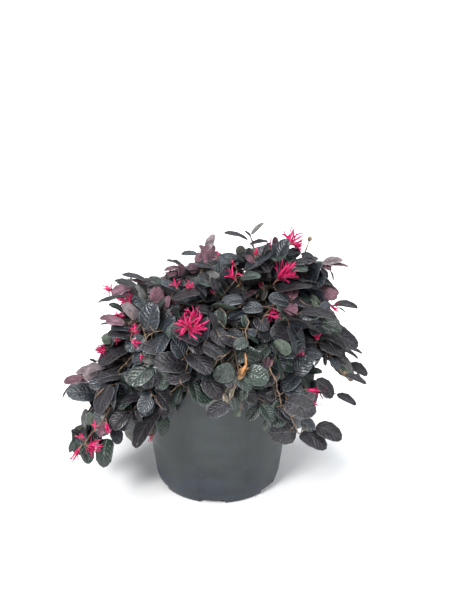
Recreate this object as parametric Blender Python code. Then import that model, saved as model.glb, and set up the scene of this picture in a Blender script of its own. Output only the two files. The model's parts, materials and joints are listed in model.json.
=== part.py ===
"""A weeping Chinese fringe flower, the purple-leaved dwarf kind, in a two-gallon nursery pot.

The plant is built as it grows. A short woody stem stands in the potting mix and forks into primary
boughs, each primary carries further boughs, and every bough ends where it enters its own mass of
foliage. A mass is one shoot that goes on from the bough's tip, with twigs that branch from it by a
seeded rule, and leaves and ribbon-petalled blossoms fused to them.

Metres, +Z up. The origin is the middle of the pot's underside, and the front faces -Y. A bearing is
turned from the front towards the right, and a reach is measured out from the pot's axis.
"""

import math
import random
from collections import namedtuple

import bmesh
import bpy
from mathutils import Quaternion, Vector
from mathutils.bvhtree import BVHTree
from mathutils.kdtree import KDTree

GAP = 0.0003

# Pot
POT_HEIGHT = 0.190
POT_RIM_RADIUS = 0.115
POT_SHOULDER_RADIUS = 0.111
POT_BELLY_RADIUS = 0.0954
POT_BELLY_HEIGHT = 0.046
POT_HEEL_RADIUS = 0.0889
POT_HEEL_HEIGHT = 0.006
POT_FOOT_RADIUS = 0.0845
POT_WALL = 0.0018
POT_LIP_HEIGHT = 0.011
POT_CHANNEL_HEIGHT = 0.009
POT_PAD_RADIUS = 0.056
POT_SEGMENTS = 36
SLOT_COUNT = 6
SLOT_WIDTH = 0.035
SLOT_HEIGHT = 0.007
SLOT_FIRST_BEARING = -4.5
DRAIN_HOLE_RADIUS = 0.006
POT_CLEARANCE = 0.0015

# Potting mix
MIX_HEIGHT = 0.174
MIX_EDGE_HEIGHT = 0.168
MIX_CROWN_RADIUS = 0.028

# Woody stem
STEM_HEIGHT = 0.036
STEM_LEAN = Vector((0.004, -0.002, 0.0))
STEM_TOP_RADIUS = 0.0096
STEM_WAIST_RADIUS = 0.0092
STEM_FOOT_RADIUS = 0.0125
STEM_FLARE = 0.0035
STEM_ROOT_RIDGES = 5
STEM_SIDES = 15

# Boughs
FORK_RING_RADIUS = 0.0064
PRIMARY_RADIUS = 0.0027
BRANCH_RADIUS = 0.0021
SHOOT_TIP_RADIUS = 0.0011
BOUGH_SIDES = 5
BOUGH_STEP = 0.022

# Foliage
SHOOT_SIDES = 5
SHOOT_STEP = 0.026
TWIG_SIDES = 3
TWIG_RADIUS = 0.0015
TWIG_TIP_RADIUS = 0.0010
TWIG_LENGTH = 0.050
TWIG_SPACING = 0.020
TWIG_ANGLE = 52.0
LEAF_LENGTH = 0.052
LEAF_WIDTH = 0.038
LEAF_THICKNESS = 0.0010
LEAF_SPACING = 0.018
LEAF_ANGLE = 66.0
LEAF_TURN = 42.0
LEAF_ROOT = 0.0004
LEAF_SCALES = (1.0, 1.0, 1.0, 1.0, 0.92, 0.92, 0.84, 0.84, 0.76, 0.76, 0.68, 0.60)
PRIMARY_BARE = 0.36
BRANCH_BARE = 0.24
CROWN_HEART = Vector((0.0, 0.0, 0.205))
BORDER = 0.018
MASS_RADIUS = 0.062
OVERREACH = 0.004
WELD = 0.000004

# Blossom
RIBBON_COUNT = 6
RIBBON_LENGTH = 0.023
RIBBON_WIDTH = 0.0042
RIBBON_THICKNESS = 0.0011
CALYX_RADIUS = 0.0032
SPUR_LENGTH = 0.020

SEED = 47

# A shoot springs from its parent at the share fork of the parent's length, and its outermost leaf
# lies at bearing, reach and height. It starts at the angle rise above level and ends at the angle
# fall, which is below level where the shoot weeps.
Shoot = namedtuple("Shoot", "parent fork bearing reach height rise fall")
SHOOTS = {
    "shoulder_front": Shoot("stem", 0, 2, 0.176, 0.238, 66, -28),
    "shoulder_front_right": Shoot("stem", 1, 48, 0.176, 0.240, 66, -34),
    "shoulder_right": Shoot("stem", 2, 94, 0.192, 0.266, 66, -12),
    "shoulder_back_right": Shoot("stem", 3, 138, 0.180, 0.246, 66, -30),
    "shoulder_back_left": Shoot("stem", 4, 218, 0.180, 0.256, 66, -28),
    "shoulder_left": Shoot("stem", 5, 262, 0.172, 0.268, 66, -16),
    "shoulder_front_left": Shoot("stem", 6, 312, 0.172, 0.232, 66, -38),
    "top": Shoot("stem", 7, 124, 0.054, 0.372, 84, 62),
    "front": Shoot("shoulder_front", 0.34, 12, 0.162, 0.140, 40, -76),
    "top_front": Shoot("shoulder_front", 0.26, -12, 0.100, 0.318, 74, 8),
    "front_right": Shoot("shoulder_front_right", 0.32, 38, 0.160, 0.108, 36, -80),
    "low_right": Shoot("shoulder_front_right", 0.24, 63, 0.186, 0.094, 44, -66),
    "right": Shoot("shoulder_right", 0.34, 88, 0.211, 0.160, 36, -44),
    "right_front": Shoot("shoulder_right", 0.29, 73, 0.198, 0.168, 36, -46),
    "top_far_right": Shoot("shoulder_right", 0.25, 96, 0.180, 0.322, 60, 14),
    "back_right": Shoot("shoulder_back_right", 0.34, 120, 0.200, 0.122, 36, -66),
    "back": Shoot("shoulder_back_right", 0.26, 166, 0.186, 0.112, 40, -70),
    "back_left": Shoot("shoulder_back_left", 0.34, 234, 0.196, 0.132, 36, -66),
    "shoulder_back": Shoot("shoulder_back_left", 0.25, 182, 0.182, 0.244, 54, -28),
    "low_back": Shoot("shoulder_back_left", 0.30, 202, 0.184, 0.132, 40, -70),
    "left": Shoot("shoulder_left", 0.32, 272, 0.221, 0.143, 36, -48),
    "low_left": Shoot("shoulder_left", 0.24, 288, 0.209, 0.058, 40, -72),
    "front_left": Shoot("shoulder_front_left", 0.34, 324, 0.160, 0.114, 36, -78),
    "left_front": Shoot("shoulder_front_left", 0.30, 304, 0.184, 0.112, 38, -66),
    "low_front": Shoot("shoulder_front_left", 0.26, 346, 0.158, 0.146, 46, -74),
    "top_left": Shoot("top", 0.28, 260, 0.098, 0.330, 56, 20),
    "top_right": Shoot("top", 0.36, 86, 0.112, 0.362, 58, 44),
    "top_back": Shoot("top", 0.24, 176, 0.110, 0.326, 58, 14),
}

# Blossoms that show from a step away: the mass each is in, and how far along its shoot it springs.
BLOSSOMS = (
    ("shoulder_front_left", 0.50),
    ("shoulder_front", 0.30),
    ("top_front", 0.55),
    ("top_right", 0.75),
    ("low_left", 0.90),
    ("left", 0.30),
    ("shoulder_left", 0.75),
    ("right_front", 0.72),
    ("shoulder_back_right", 0.50),
    ("shoulder_back", 0.55),
    ("back_left", 0.35),
)


def at(bearing, reach, height):
    """The point at a bearing and reach from the pot's axis, and a height above the ground."""
    turn = math.radians(bearing)
    return Vector((reach * math.sin(turn), -reach * math.cos(turn), height))


def heading(bearing, climb):
    """The direction that points along a bearing and climbs at an angle above level."""
    tilt = math.radians(climb)
    return at(bearing, math.cos(tilt), math.sin(tilt))


def material(name, colour, roughness):
    """A Principled material of one plain colour."""
    made = bpy.data.materials.new(name)
    made.use_nodes = True
    shader = made.node_tree.nodes["Principled BSDF"]
    shader.inputs["Base Color"].default_value = (*colour, 1.0)
    shader.inputs["Roughness"].default_value = roughness
    shader.inputs["Metallic"].default_value = 0.0
    return made


def add_object(name, shape, finish):
    """Puts a bmesh into the scene as one object with its own material, and returns the object."""
    mesh = bpy.data.meshes.new(name)
    shape.to_mesh(mesh)
    shape.free()
    mesh.materials.append(finish)
    made = bpy.data.objects.new(name, mesh)
    bpy.context.scene.collection.objects.link(made)
    return made


def turned(profile, segments):
    """A solid of revolution about Z. The profile runs from the axis, round the outside, back to it."""
    shape = bmesh.new()
    points = [shape.verts.new((radius, 0.0, height)) for radius, height in profile]
    edges = [shape.edges.new(pair) for pair in zip(points, points[1:])]
    bmesh.ops.spin(
        shape,
        geom=points + edges,
        cent=(0, 0, 0),
        axis=(0, 0, 1),
        angle=math.tau,
        steps=segments,
        use_duplicate=False,
    )
    bmesh.ops.remove_doubles(shape, verts=shape.verts, dist=1e-6)
    bmesh.ops.recalc_face_normals(shape, faces=shape.faces)
    return shape


def cut(target, cutters):
    """Cuts the cutter objects out of the target, one Boolean for each, and removes them."""
    bpy.context.view_layer.objects.active = target
    for cutter in cutters:
        modifier = target.modifiers.new("cut", "BOOLEAN")
        modifier.operation = "DIFFERENCE"
        modifier.object = cutter
        bpy.ops.object.modifier_apply(modifier=modifier.name)
        bpy.data.objects.remove(cutter, do_unlink=True)


def smooth(target, angle=40.0):
    """Shades round faces smooth and keeps edges sharper than the angle."""
    target.data.shade_smooth()
    target.data.set_sharp_from_angle(angle=math.radians(angle))


def pot_inner_radius(height):
    """Radius of the pot's inner wall at a height above its channel floor."""
    if height < POT_BELLY_HEIGHT:
        share = (height - POT_HEEL_HEIGHT) / (POT_BELLY_HEIGHT - POT_HEEL_HEIGHT)
        outer = POT_HEEL_RADIUS + share * (POT_BELLY_RADIUS - POT_HEEL_RADIUS)
    else:
        share = (height - POT_BELLY_HEIGHT) / (POT_HEIGHT - POT_LIP_HEIGHT - POT_BELLY_HEIGHT)
        outer = POT_BELLY_RADIUS + share * (POT_SHOULDER_RADIUS - POT_BELLY_RADIUS)
    return outer - POT_WALL


def build_pot(finish):
    """A moulded pot: foot ring with drain slots, raised channel, middle pad, flared wall, rolled lip."""
    lip_foot = POT_HEIGHT - POT_LIP_HEIGHT
    floor = POT_CHANNEL_HEIGHT + POT_WALL
    pad_inner = POT_PAD_RADIUS - POT_WALL
    profile = (
        (0.0, 0.0),
        (POT_PAD_RADIUS, 0.0),
        (POT_PAD_RADIUS + 0.0010, POT_CHANNEL_HEIGHT),
        (POT_FOOT_RADIUS - POT_WALL, POT_CHANNEL_HEIGHT),
        (POT_FOOT_RADIUS - POT_WALL, 0.0),
        (POT_FOOT_RADIUS, 0.0),
        (POT_HEEL_RADIUS, POT_HEEL_HEIGHT),
        (POT_BELLY_RADIUS, POT_BELLY_HEIGHT),
        (POT_SHOULDER_RADIUS, lip_foot),
        (POT_RIM_RADIUS, lip_foot + 0.0012),
        (POT_RIM_RADIUS, POT_HEIGHT - 0.0020),
        (POT_RIM_RADIUS - 0.0016, POT_HEIGHT),
        (POT_RIM_RADIUS - 0.0042, POT_HEIGHT),
        (POT_SHOULDER_RADIUS - POT_WALL, POT_HEIGHT - 0.0030),
        (pot_inner_radius(lip_foot), lip_foot),
        (pot_inner_radius(POT_BELLY_HEIGHT), POT_BELLY_HEIGHT),
        (pot_inner_radius(floor), floor),
        (pad_inner, floor),
        (pad_inner - 0.0010, POT_WALL),
        (0.0, POT_WALL),
    )
    pot = add_object("pot", turned(profile, POT_SEGMENTS), finish)
    cutters = []
    for number in range(SLOT_COUNT):
        bearing = SLOT_FIRST_BEARING + number * 360.0 / SLOT_COUNT
        slot = bmesh.new()
        bmesh.ops.create_cube(slot, size=1.0)
        bmesh.ops.scale(slot, vec=(SLOT_WIDTH, 0.020, 2 * SLOT_HEIGHT), verts=slot.verts)
        bmesh.ops.translate(slot, vec=(0, -POT_FOOT_RADIUS, 0), verts=slot.verts)
        spin_about_axis(slot, bearing)
        cutters.append(add_object("slot", slot, finish))
        hole = bmesh.new()
        bmesh.ops.create_cone(
            hole,
            cap_ends=True,
            segments=8,
            radius1=DRAIN_HOLE_RADIUS,
            radius2=DRAIN_HOLE_RADIUS,
            depth=0.010,
        )
        middle = (POT_PAD_RADIUS + POT_FOOT_RADIUS) / 2
        bmesh.ops.translate(hole, vec=(0, -middle, floor), verts=hole.verts)
        spin_about_axis(hole, bearing)
        cutters.append(add_object("hole", hole, finish))
    cut(pot, cutters)
    smooth(pot)
    return pot


def spin_about_axis(shape, bearing):
    """Turns a shape built at the front round the pot's axis to a bearing."""
    turn = math.radians(bearing)
    for vert in shape.verts:
        x, y, _ = vert.co
        vert.co.x = x * math.cos(turn) - y * math.sin(turn)
        vert.co.y = x * math.sin(turn) + y * math.cos(turn)


def build_mix(finish):
    """The potting mix that fills the pot, level round the woody stem and lower at the wall."""
    floor = POT_CHANNEL_HEIGHT + POT_WALL + GAP
    pad = POT_PAD_RADIUS - POT_WALL - 0.0010 - GAP
    profile = (
        (0.0, POT_WALL + GAP),
        (pad - GAP, POT_WALL + GAP),
        (pad - GAP, floor),
        (pot_inner_radius(floor) - GAP, floor),
        (pot_inner_radius(POT_BELLY_HEIGHT) - GAP, POT_BELLY_HEIGHT),
        (pot_inner_radius(MIX_EDGE_HEIGHT) - GAP, MIX_EDGE_HEIGHT),
        (MIX_CROWN_RADIUS, MIX_HEIGHT),
        (0.0, MIX_HEIGHT),
    )
    mix = add_object("potting_mix", turned(profile, POT_SEGMENTS), finish)
    smooth(mix)
    return mix


def build_stem(finish):
    """The short woody stem, cut flat where it meets the mix, flared into root ridges at its foot."""
    shape = bmesh.new()
    rings = []
    levels = (0.0, 0.10, 0.24, 0.45, 0.75, 1.0)
    for level in levels:
        flare = (1.0 - level) ** 4
        radius = STEM_WAIST_RADIUS + flare * (STEM_FOOT_RADIUS - STEM_WAIST_RADIUS)
        radius += level**6 * (STEM_TOP_RADIUS - STEM_WAIST_RADIUS)
        centre = STEM_LEAN * level
        height = MIX_HEIGHT + GAP + STEM_HEIGHT * level
        ring = []
        for side in range(STEM_SIDES):
            angle = math.tau * side / STEM_SIDES
            ridge = STEM_FLARE * flare * math.cos(STEM_ROOT_RIDGES * angle)
            out = radius + ridge
            place = (centre.x + out * math.cos(angle), centre.y + out * math.sin(angle), height)
            ring.append(shape.verts.new(place))
        rings.append(ring)
    skin(shape, rings)
    stem = add_object("woody_stem", shape, finish)
    smooth(stem)
    return stem


def skin(shape, rings):
    """Closes a stack of rings into a tube with flat ends."""
    for low, high in zip(rings, rings[1:]):
        count = len(low)
        for side in range(count):
            beyond = (side + 1) % count
            shape.faces.new((low[side], low[beyond], high[beyond], high[side]))
    shape.faces.new(list(reversed(rings[0])))
    shape.faces.new(rings[-1])
    bmesh.ops.recalc_face_normals(shape, faces=shape.faces)


def tube(points, directions, radii, sides):
    """A tapering limb along points, with a ring of the given sides square to it at each."""
    shape = bmesh.new()
    rings = []
    across = directions[0].orthogonal().normalized()
    for point, along, radius in zip(points, directions, radii):
        across = (across - along * across.dot(along)).normalized()
        other = along.cross(across)
        ring = []
        for side in range(sides):
            angle = math.tau * side / sides
            offset = across * math.cos(angle) + other * math.sin(angle)
            ring.append(shape.verts.new(point + offset * radius))
        rings.append(ring)
    skin(shape, rings)
    return shape


def limb(shoot, curve, first, last, step, sides, swell=0.0):
    """The stretch of a shoot's limb from first to last along its line, swollen by a little."""
    distances = curve.stretch(first, last, step)
    points = [curve.place(distance) for distance in distances]
    directions = [curve.direction(distance) for distance in distances]
    radii = [limb_radius(shoot, curve, distance) + swell for distance in distances]
    return tube(points, directions, radii, sides)


class Curve:
    """A limb's middle line: a cubic that leaves its start and reaches its end along given directions."""

    SAMPLES = 120

    def __init__(self, start, leave, end, arrive):
        span = (end - start).length
        self.handles = (start, start + leave * span * 0.42, end - arrive * span * 0.40, end)
        self.points = [self.cubic(step / self.SAMPLES) for step in range(self.SAMPLES + 1)]
        self.lengths = [0.0]
        for before, after in zip(self.points, self.points[1:]):
            self.lengths.append(self.lengths[-1] + (after - before).length)
        self.length = self.lengths[-1]

    def cubic(self, share):
        a, b, c, d = self.handles
        rest = 1.0 - share
        return (
            a * rest**3 + b * (3 * rest**2 * share) + c * (3 * rest * share**2) + d * share**3
        )

    def place(self, distance):
        """The point at a distance along the line."""
        distance = min(max(distance, 0.0), self.length)
        for number in range(self.SAMPLES):
            if self.lengths[number + 1] >= distance:
                step = self.lengths[number + 1] - self.lengths[number]
                share = (distance - self.lengths[number]) / step
                return self.points[number].lerp(self.points[number + 1], share)
        return self.points[-1].copy()

    def direction(self, distance):
        """The way the line runs at a distance along it."""
        return (self.place(distance + 0.002) - self.place(distance - 0.002)).normalized()

    def stretch(self, first, last, step):
        """Distances from first to last, evenly spaced at about one step."""
        count = max(2, round((last - first) / step))
        return [first + (last - first) * number / count for number in range(count + 1)]


def limb_base_radius(shoot):
    return PRIMARY_RADIUS if shoot.parent == "stem" else BRANCH_RADIUS


def limb_radius(shoot, curve, distance):
    """A limb tapers evenly from its base to the tip of its shoot."""
    base = limb_base_radius(shoot)
    return base + (SHOOT_TIP_RADIUS - base) * distance / curve.length


def lay_out_limbs():
    """The middle line of every limb from its base to its shoot's tip, by name."""
    curves = {}
    stem_top = Vector((0, 0, MIX_HEIGHT + GAP + STEM_HEIGHT)) + STEM_LEAN
    outer = sum(1 for shoot in SHOOTS.values() if shoot.parent == "stem") - 1
    for name, shoot in SHOOTS.items():
        leave = heading(shoot.bearing, shoot.rise)
        arrive = heading(shoot.bearing, shoot.fall)
        end = at(shoot.bearing, shoot.reach, shoot.height) - arrive * (LEAF_LENGTH * 0.9)
        if shoot.parent == "stem":
            ring = FORK_RING_RADIUS if shoot.fork < outer else 0.0
            offset = at(shoot.fork * 360.0 / outer, ring, 0.0)
            tilt = PRIMARY_RADIUS * math.cos(math.radians(shoot.rise))
            start = stem_top + offset + Vector((0, 0, GAP + tilt))
        else:
            parent = curves[shoot.parent]
            start = parent.place(parent.length * shoot.fork)
            leave = (leave + parent.direction(parent.length * shoot.fork)).normalized()
        curves[name] = Curve(start, leave, end, arrive)
    return curves


class Spaces:
    """Each mass keeps to the space round its own shoot, up to a little past midway to the next."""

    def __init__(self, lines):
        self.own = {name: search_tree(points) for name, points in lines.items()}
        self.others = {}
        for name in lines:
            rest = [point for other, points in lines.items() if other != name for point in points]
            self.others[name] = search_tree(rest)

    def hold(self, name, point):
        own = self.own[name].find(point)[2]
        return own < self.others[name].find(point)[2] + BORDER and own < MASS_RADIUS


def search_tree(points):
    tree = KDTree(len(points))
    for number, point in enumerate(points):
        tree.insert(point, number)
    tree.balance()
    return tree


def clear_of_pot(point):
    """Whether a point is above the pot's rim, or outside its wall."""
    if point.z > POT_HEIGHT + POT_CLEARANCE:
        return True
    radius = math.hypot(point.x, point.y)
    if point.z > POT_HEIGHT - POT_LIP_HEIGHT - POT_CLEARANCE:
        return radius > POT_RIM_RADIUS + POT_CLEARANCE
    return radius > pot_inner_radius(point.z) + POT_WALL + POT_CLEARANCE


def grow_bough(name, curves, bare, starts, finish):
    """One bough, from where it is just clear of its parent to its mass. Returns it swollen."""
    shoot = SHOOTS[name]
    curve = curves[name]
    last = bare[name]
    first = 0.0
    if shoot.parent != "stem":
        near = SHOOTS[shoot.parent]
        line = curves[shoot.parent]
        middle = bare[shoot.parent]
        lower = limb(near, line, starts[shoot.parent], middle, BOUGH_STEP, BOUGH_SIDES, GAP)
        upper = limb(near, line, middle + GAP, line.length, SHOOT_STEP, SHOOT_SIDES, GAP)
        trees = [BVHTree.FromBMesh(lower), BVHTree.FromBMesh(upper)]
        first = limb_radius(near, line, middle) / 2
        while True:
            bough = BVHTree.FromBMesh(limb(shoot, curve, first, last, BOUGH_STEP, BOUGH_SIDES))
            if not any(bough.overlap(tree) for tree in trees):
                break
            first += GAP
    starts[name] = first
    bough = limb(shoot, curve, first, last, BOUGH_STEP, BOUGH_SIDES)
    smooth(add_object("bough_" + name, bough, finish), 60.0)
    return limb(shoot, curve, first, last, BOUGH_STEP, BOUGH_SIDES, 2 * GAP)


def bare_length(name, curve):
    """How far along its line a limb is bare: past its last fork, and then its mass begins."""
    forks = [shoot.fork for shoot in SHOOTS.values() if shoot.parent == name]
    if SHOOTS[name].parent == "stem":
        share = max([PRIMARY_BARE] + [fork + 0.05 for fork in forks])
    else:
        share = BRANCH_BARE
    return curve.length * share


def leaf_solid(root, along, face, length, width):
    """A thin leaf, folded a little along its midrib, with a rim of six points and a drooped tip."""
    side = along.cross(face).normalized()
    outline = ((0.30, 0.46, 0.055), (0.69, 0.38, 0.020))
    shape = bmesh.new()
    base = shape.verts.new(root)
    tip = shape.verts.new(root + (along - face * 0.06) * length)
    belly = shape.verts.new(root + along * (0.4 * length) - face * (0.024 * length + LEAF_THICKNESS))
    for hand in (-1, 1):
        rim = [base]
        for share, across, lift in outline:
            place = root + (along * share + face * lift) * length + side * (hand * across * width)
            rim.append(shape.verts.new(place))
        rim.append(tip)
        shape.faces.new((base, rim[1], tip))
        shape.faces.new((rim[1], rim[2], tip))
        for first, second in zip(rim, rim[1:]):
            shape.faces.new((first, second, belly))
    bmesh.ops.recalc_face_normals(shape, faces=shape.faces)
    return shape


def ribbon_solid(heart, along, face):
    """One strap petal: a long thin lozenge that droops at its tip."""
    side = along.cross(face).normalized()
    shape = bmesh.new()
    middle = heart + along * (RIBBON_LENGTH * 0.5) + face * (RIBBON_LENGTH * 0.10)
    rim = (
        shape.verts.new(heart),
        shape.verts.new(middle - side * (RIBBON_WIDTH / 2)),
        shape.verts.new(heart + along * RIBBON_LENGTH),
        shape.verts.new(middle + side * (RIBBON_WIDTH / 2)),
    )
    top = shape.verts.new(middle + face * (RIBBON_THICKNESS / 2))
    bottom = shape.verts.new(middle - face * (RIBBON_THICKNESS / 2))
    for first, second in zip(rim, rim[1:] + rim[:1]):
        shape.faces.new((first, second, top))
        shape.faces.new((second, first, bottom))
    bmesh.ops.recalc_face_normals(shape, faces=shape.faces)
    return shape


def blossom_solids(heart, outward, rng):
    """A tuft of strap petals that spread from a small calyx."""
    calyx = bmesh.new()
    bmesh.ops.create_uvsphere(calyx, u_segments=4, v_segments=2, radius=CALYX_RADIUS)
    bmesh.ops.translate(calyx, vec=heart, verts=calyx.verts)
    shapes = [calyx]
    across = outward.orthogonal().normalized()
    other = outward.cross(across)
    for number in range(RIBBON_COUNT):
        angle = math.tau * (number + rng.uniform(-0.2, 0.2)) / RIBBON_COUNT
        spread = across * math.cos(angle) + other * math.sin(angle)
        along = (outward * rng.uniform(0.35, 0.9) + spread).normalized()
        face = (outward - along * outward.dot(along)).normalized()
        shapes.append(ribbon_solid(heart, along, face))
    return shapes


class Mass:
    """One mass of foliage, grown along its shoot, kept to its own space and clear of all limbs."""

    def __init__(self, name, curve, spaces, limbs, rng):
        self.name = name
        self.shoot = SHOOTS[name]
        self.curve = curve
        self.spaces = spaces
        self.limbs = limbs
        self.rng = rng
        self.shapes = []
        self.wood = []
        self.twigs = []
        self.leaves = []
        self.bearing = set()
        self.slots = []

    def fits(self, shape, own):
        """Whether a shape keeps to the mass's space and crosses no limb, leaf or other wood."""
        points = [vert.co for vert in shape.verts]
        points += [(edge.verts[0].co + edge.verts[1].co) / 2 for edge in shape.edges]
        for point in points:
            if not (self.within_reach(point) and clear_of_pot(point)):
                return False
            if not self.spaces.hold(self.name, point):
                return False
        tree = BVHTree.FromBMesh(shape)
        wood = [other for number, other in enumerate(self.wood) if number != own]
        return not any(tree.overlap(other) for other in self.limbs + wood + self.leaves)

    def twig(self, base, tip):
        """A straight three-sided twig that springs from within the shoot."""
        along = (tip - base).normalized()
        return tube((base, tip), (along, along), (TWIG_RADIUS, TWIG_TIP_RADIUS), TWIG_SIDES)

    def within_reach(self, point):
        """Nothing stands further out than the shoot's own tip, nor past it the way it points."""
        if math.hypot(point.x, point.y) > self.shoot.reach + OVERREACH:
            return False
        if self.shoot.fall < 0:
            return point.z > self.shoot.height - OVERREACH
        return point.z < self.shoot.height + OVERREACH

    def add_wood(self, shape):
        """Takes in the shoot or a twig, which becomes part of the solid once it bears a leaf."""
        self.twigs.append(shape)
        self.wood.append(BVHTree.FromBMesh(shape))

    def outward(self, point, along):
        """The way a leaf at a point faces: out of the crown and up, square to its twig."""
        facing = (point - CROWN_HEART).normalized() + Vector((0, 0, 0.45))
        facing -= along * facing.dot(along)
        turn = math.radians(self.rng.uniform(-LEAF_TURN, LEAF_TURN))
        facing.rotate(Quaternion(along, turn))
        return facing.normalized()

    def grow(self, first):
        """Grows all of the mass: the shoot, its blossoms, its twigs and then the leaves."""
        self.grow_shoot(first)
        for name, share in BLOSSOMS:
            if name == self.name:
                self.grow_blossom(share)
        self.grow_twigs()
        self.grow_leaves()

    def grow_shoot(self, first):
        """The shoot itself, from the bough's tip to its own."""
        self.first = first
        last = self.curve.length
        self.add_wood(limb(self.shoot, self.curve, first, last, SHOOT_STEP, SHOOT_SIDES))
        points = [self.curve.place(distance) for distance in self.curve.stretch(first, last, 0.01)]
        self.mark_slots(points, LEAF_SPACING * 1.2, self.rng.choice((-1, 1)))

    def grow_blossom(self, share):
        """A spur from the shoot, with a tuft of petals at its end."""
        distance = self.first + (self.curve.length - self.first) * share
        base = self.curve.place(distance)
        along = self.curve.direction(distance)
        for _ in range(12):
            outward = self.outward(base, along) + along * self.rng.uniform(0.2, 0.8)
            heart = base + outward.normalized() * SPUR_LENGTH
            spur = self.twig(base, heart)
            if self.fits(spur, 0):
                self.add_wood(spur)
                petals = blossom_solids(heart, outward.normalized(), self.rng)
                petals = [petal for petal in petals if self.fits(petal, len(self.wood) - 1)]
                self.bearing.add(len(self.wood) - 1)
                self.shapes += petals
                self.leaves += [BVHTree.FromBMesh(petal) for petal in petals]
                return
            spur.free()

    def grow_twigs(self):
        """Side twigs, left and right in turn, longest low on the shoot."""
        span = self.curve.length - self.first
        count = max(2, round(span / TWIG_SPACING))
        sign = self.rng.choice((-1, 1))
        for number in range(count):
            share = (number + 0.35) / count
            base = self.curve.place(self.first + span * share)
            along = self.curve.direction(self.first + span * share)
            face = self.outward(base, along)
            side = along.cross(face) * sign
            full = TWIG_LENGTH * (1.2 - 0.6 * share) * self.rng.uniform(0.85, 1.15)
            for scale in (1.0, 0.85, 0.7, 0.55, 0.4):
                lift = math.radians(self.rng.uniform(-14, 38))
                angle = math.radians(TWIG_ANGLE + self.rng.uniform(-12, 12))
                sideways = side * math.cos(lift) + face * math.sin(lift)
                away = along * math.cos(angle) + sideways * math.sin(angle)
                tip = base + away * (full * scale)
                twig = self.twig(base, tip)
                if self.fits(twig, 0):
                    self.add_wood(twig)
                    self.mark_slots([base, tip], LEAF_SPACING, sign)
                    break
                twig.free()
            sign = -sign

    def mark_slots(self, points, spacing, side_sign):
        """Marks where leaves stand: on alternate sides of a twig, and one at its tip."""
        length = sum((after - before).length for before, after in zip(points, points[1:]))
        place, along = point_on(points, 1.0)
        wood = len(self.wood) - 1
        self.slots.append((wood, place - along * LEAF_ROOT, along, 0))
        count = max(1, round(length / spacing))
        for number in range(count):
            place, along = point_on(points, (number + 0.6) / (count + 0.2))
            self.slots.append((wood, place, along, side_sign))
            side_sign = -side_sign

    def grow_leaves(self):
        """A leaf in every slot where one fits, tips first, tried at several angles and sizes."""
        self.slots.sort(key=lambda slot: abs(slot[3]))
        for wood, place, along, side_sign in self.slots:
            face = self.outward(place, along)
            side = along.cross(face) * side_sign
            for scale in LEAF_SCALES:
                angle = math.radians(LEAF_ANGLE + self.rng.uniform(-18, 18))
                reach = along * math.cos(angle) + side * math.sin(angle)
                if side_sign == 0:
                    reach = along + face * self.rng.uniform(-0.4, 0.4)
                    reach += along.cross(face) * self.rng.uniform(-0.4, 0.4)
                reach.normalize()
                tilt = along.cross(face) * self.rng.uniform(-0.4, 0.4)
                blade = face + tilt + along * self.rng.uniform(-0.3, 0.4)
                blade = (blade - reach * blade.dot(reach)).normalized()
                size = scale * self.rng.uniform(0.92, 1.06)
                root = place - reach * LEAF_ROOT
                leaf = leaf_solid(root, reach, blade, LEAF_LENGTH * size, LEAF_WIDTH * size)
                if self.fits(leaf, wood):
                    self.shapes.append(leaf)
                    self.leaves.append(BVHTree.FromBMesh(leaf))
                    self.bearing.add(wood)
                    break
                leaf.free()

    def fuse(self, finish):
        """Joins all that grew into one closed solid, and drops scraps and sealed hollows."""
        parts = bpy.data.collections.new("growing")
        bpy.context.scene.collection.children.link(parts)
        shoot = add_object("foliage_" + self.name, self.twigs[0], finish)
        bearing = [self.twigs[number] for number in sorted(self.bearing) if number > 0]
        for shape in bearing + self.shapes:
            piece = add_object("piece", shape, finish)
            bpy.context.scene.collection.objects.unlink(piece)
            parts.objects.link(piece)
        join = shoot.modifiers.new("join", "BOOLEAN")
        join.operation = "UNION"
        join.operand_type = "COLLECTION"
        join.collection = parts
        join.solver = "EXACT"
        bpy.context.view_layer.objects.active = shoot
        bpy.ops.object.modifier_apply(modifier=join.name)
        for piece in list(parts.objects):
            bpy.data.objects.remove(piece, do_unlink=True)
        bpy.data.collections.remove(parts)
        return shoot if tidy_body(shoot) else None


def point_on(points, share):
    """The place and direction at a share of a short line of points."""
    steps = [(after - before).length for before, after in zip(points, points[1:])]
    left = share * sum(steps)
    for number, step in enumerate(steps):
        if left <= step or number == len(steps) - 1:
            before, after = points[number], points[number + 1]
            return before.lerp(after, min(left / step, 1.0)), (after - before).normalized()
        left -= step


def tidy_body(target):
    """Drops every loose body but the largest. Returns whether that one is closed and sound."""
    shape = bmesh.new()
    shape.from_mesh(target.data)
    bmesh.ops.remove_doubles(shape, verts=shape.verts, dist=WELD)
    bmesh.ops.dissolve_degenerate(shape, edges=shape.edges, dist=WELD)
    bmesh.ops.triangulate(shape, faces=shape.faces)
    unseen = set(shape.faces)
    bodies = []
    while unseen:
        body = set()
        border = [unseen.pop()]
        while border:
            face = border.pop()
            body.add(face)
            for edge in face.edges:
                for other in edge.link_faces:
                    if other in unseen:
                        unseen.remove(other)
                        border.append(other)
        bodies.append(body)
    largest = max(bodies, key=len)
    scraps = [face for body in bodies if body is not largest for face in body]
    bmesh.ops.delete(shape, geom=scraps, context="FACES")
    sound = all(len(edge.link_faces) == 2 for edge in shape.edges)
    shape.to_mesh(target.data)
    shape.free()
    if not sound:
        bpy.data.objects.remove(target, do_unlink=True)
    return sound


def grown(target, margin):
    """A copy of a solid's mesh, swollen outwards by a margin."""
    shape = bmesh.new()
    shape.from_mesh(target.data)
    shape.normal_update()
    for vert in shape.verts:
        vert.co += vert.normal * margin
    return shape


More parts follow.
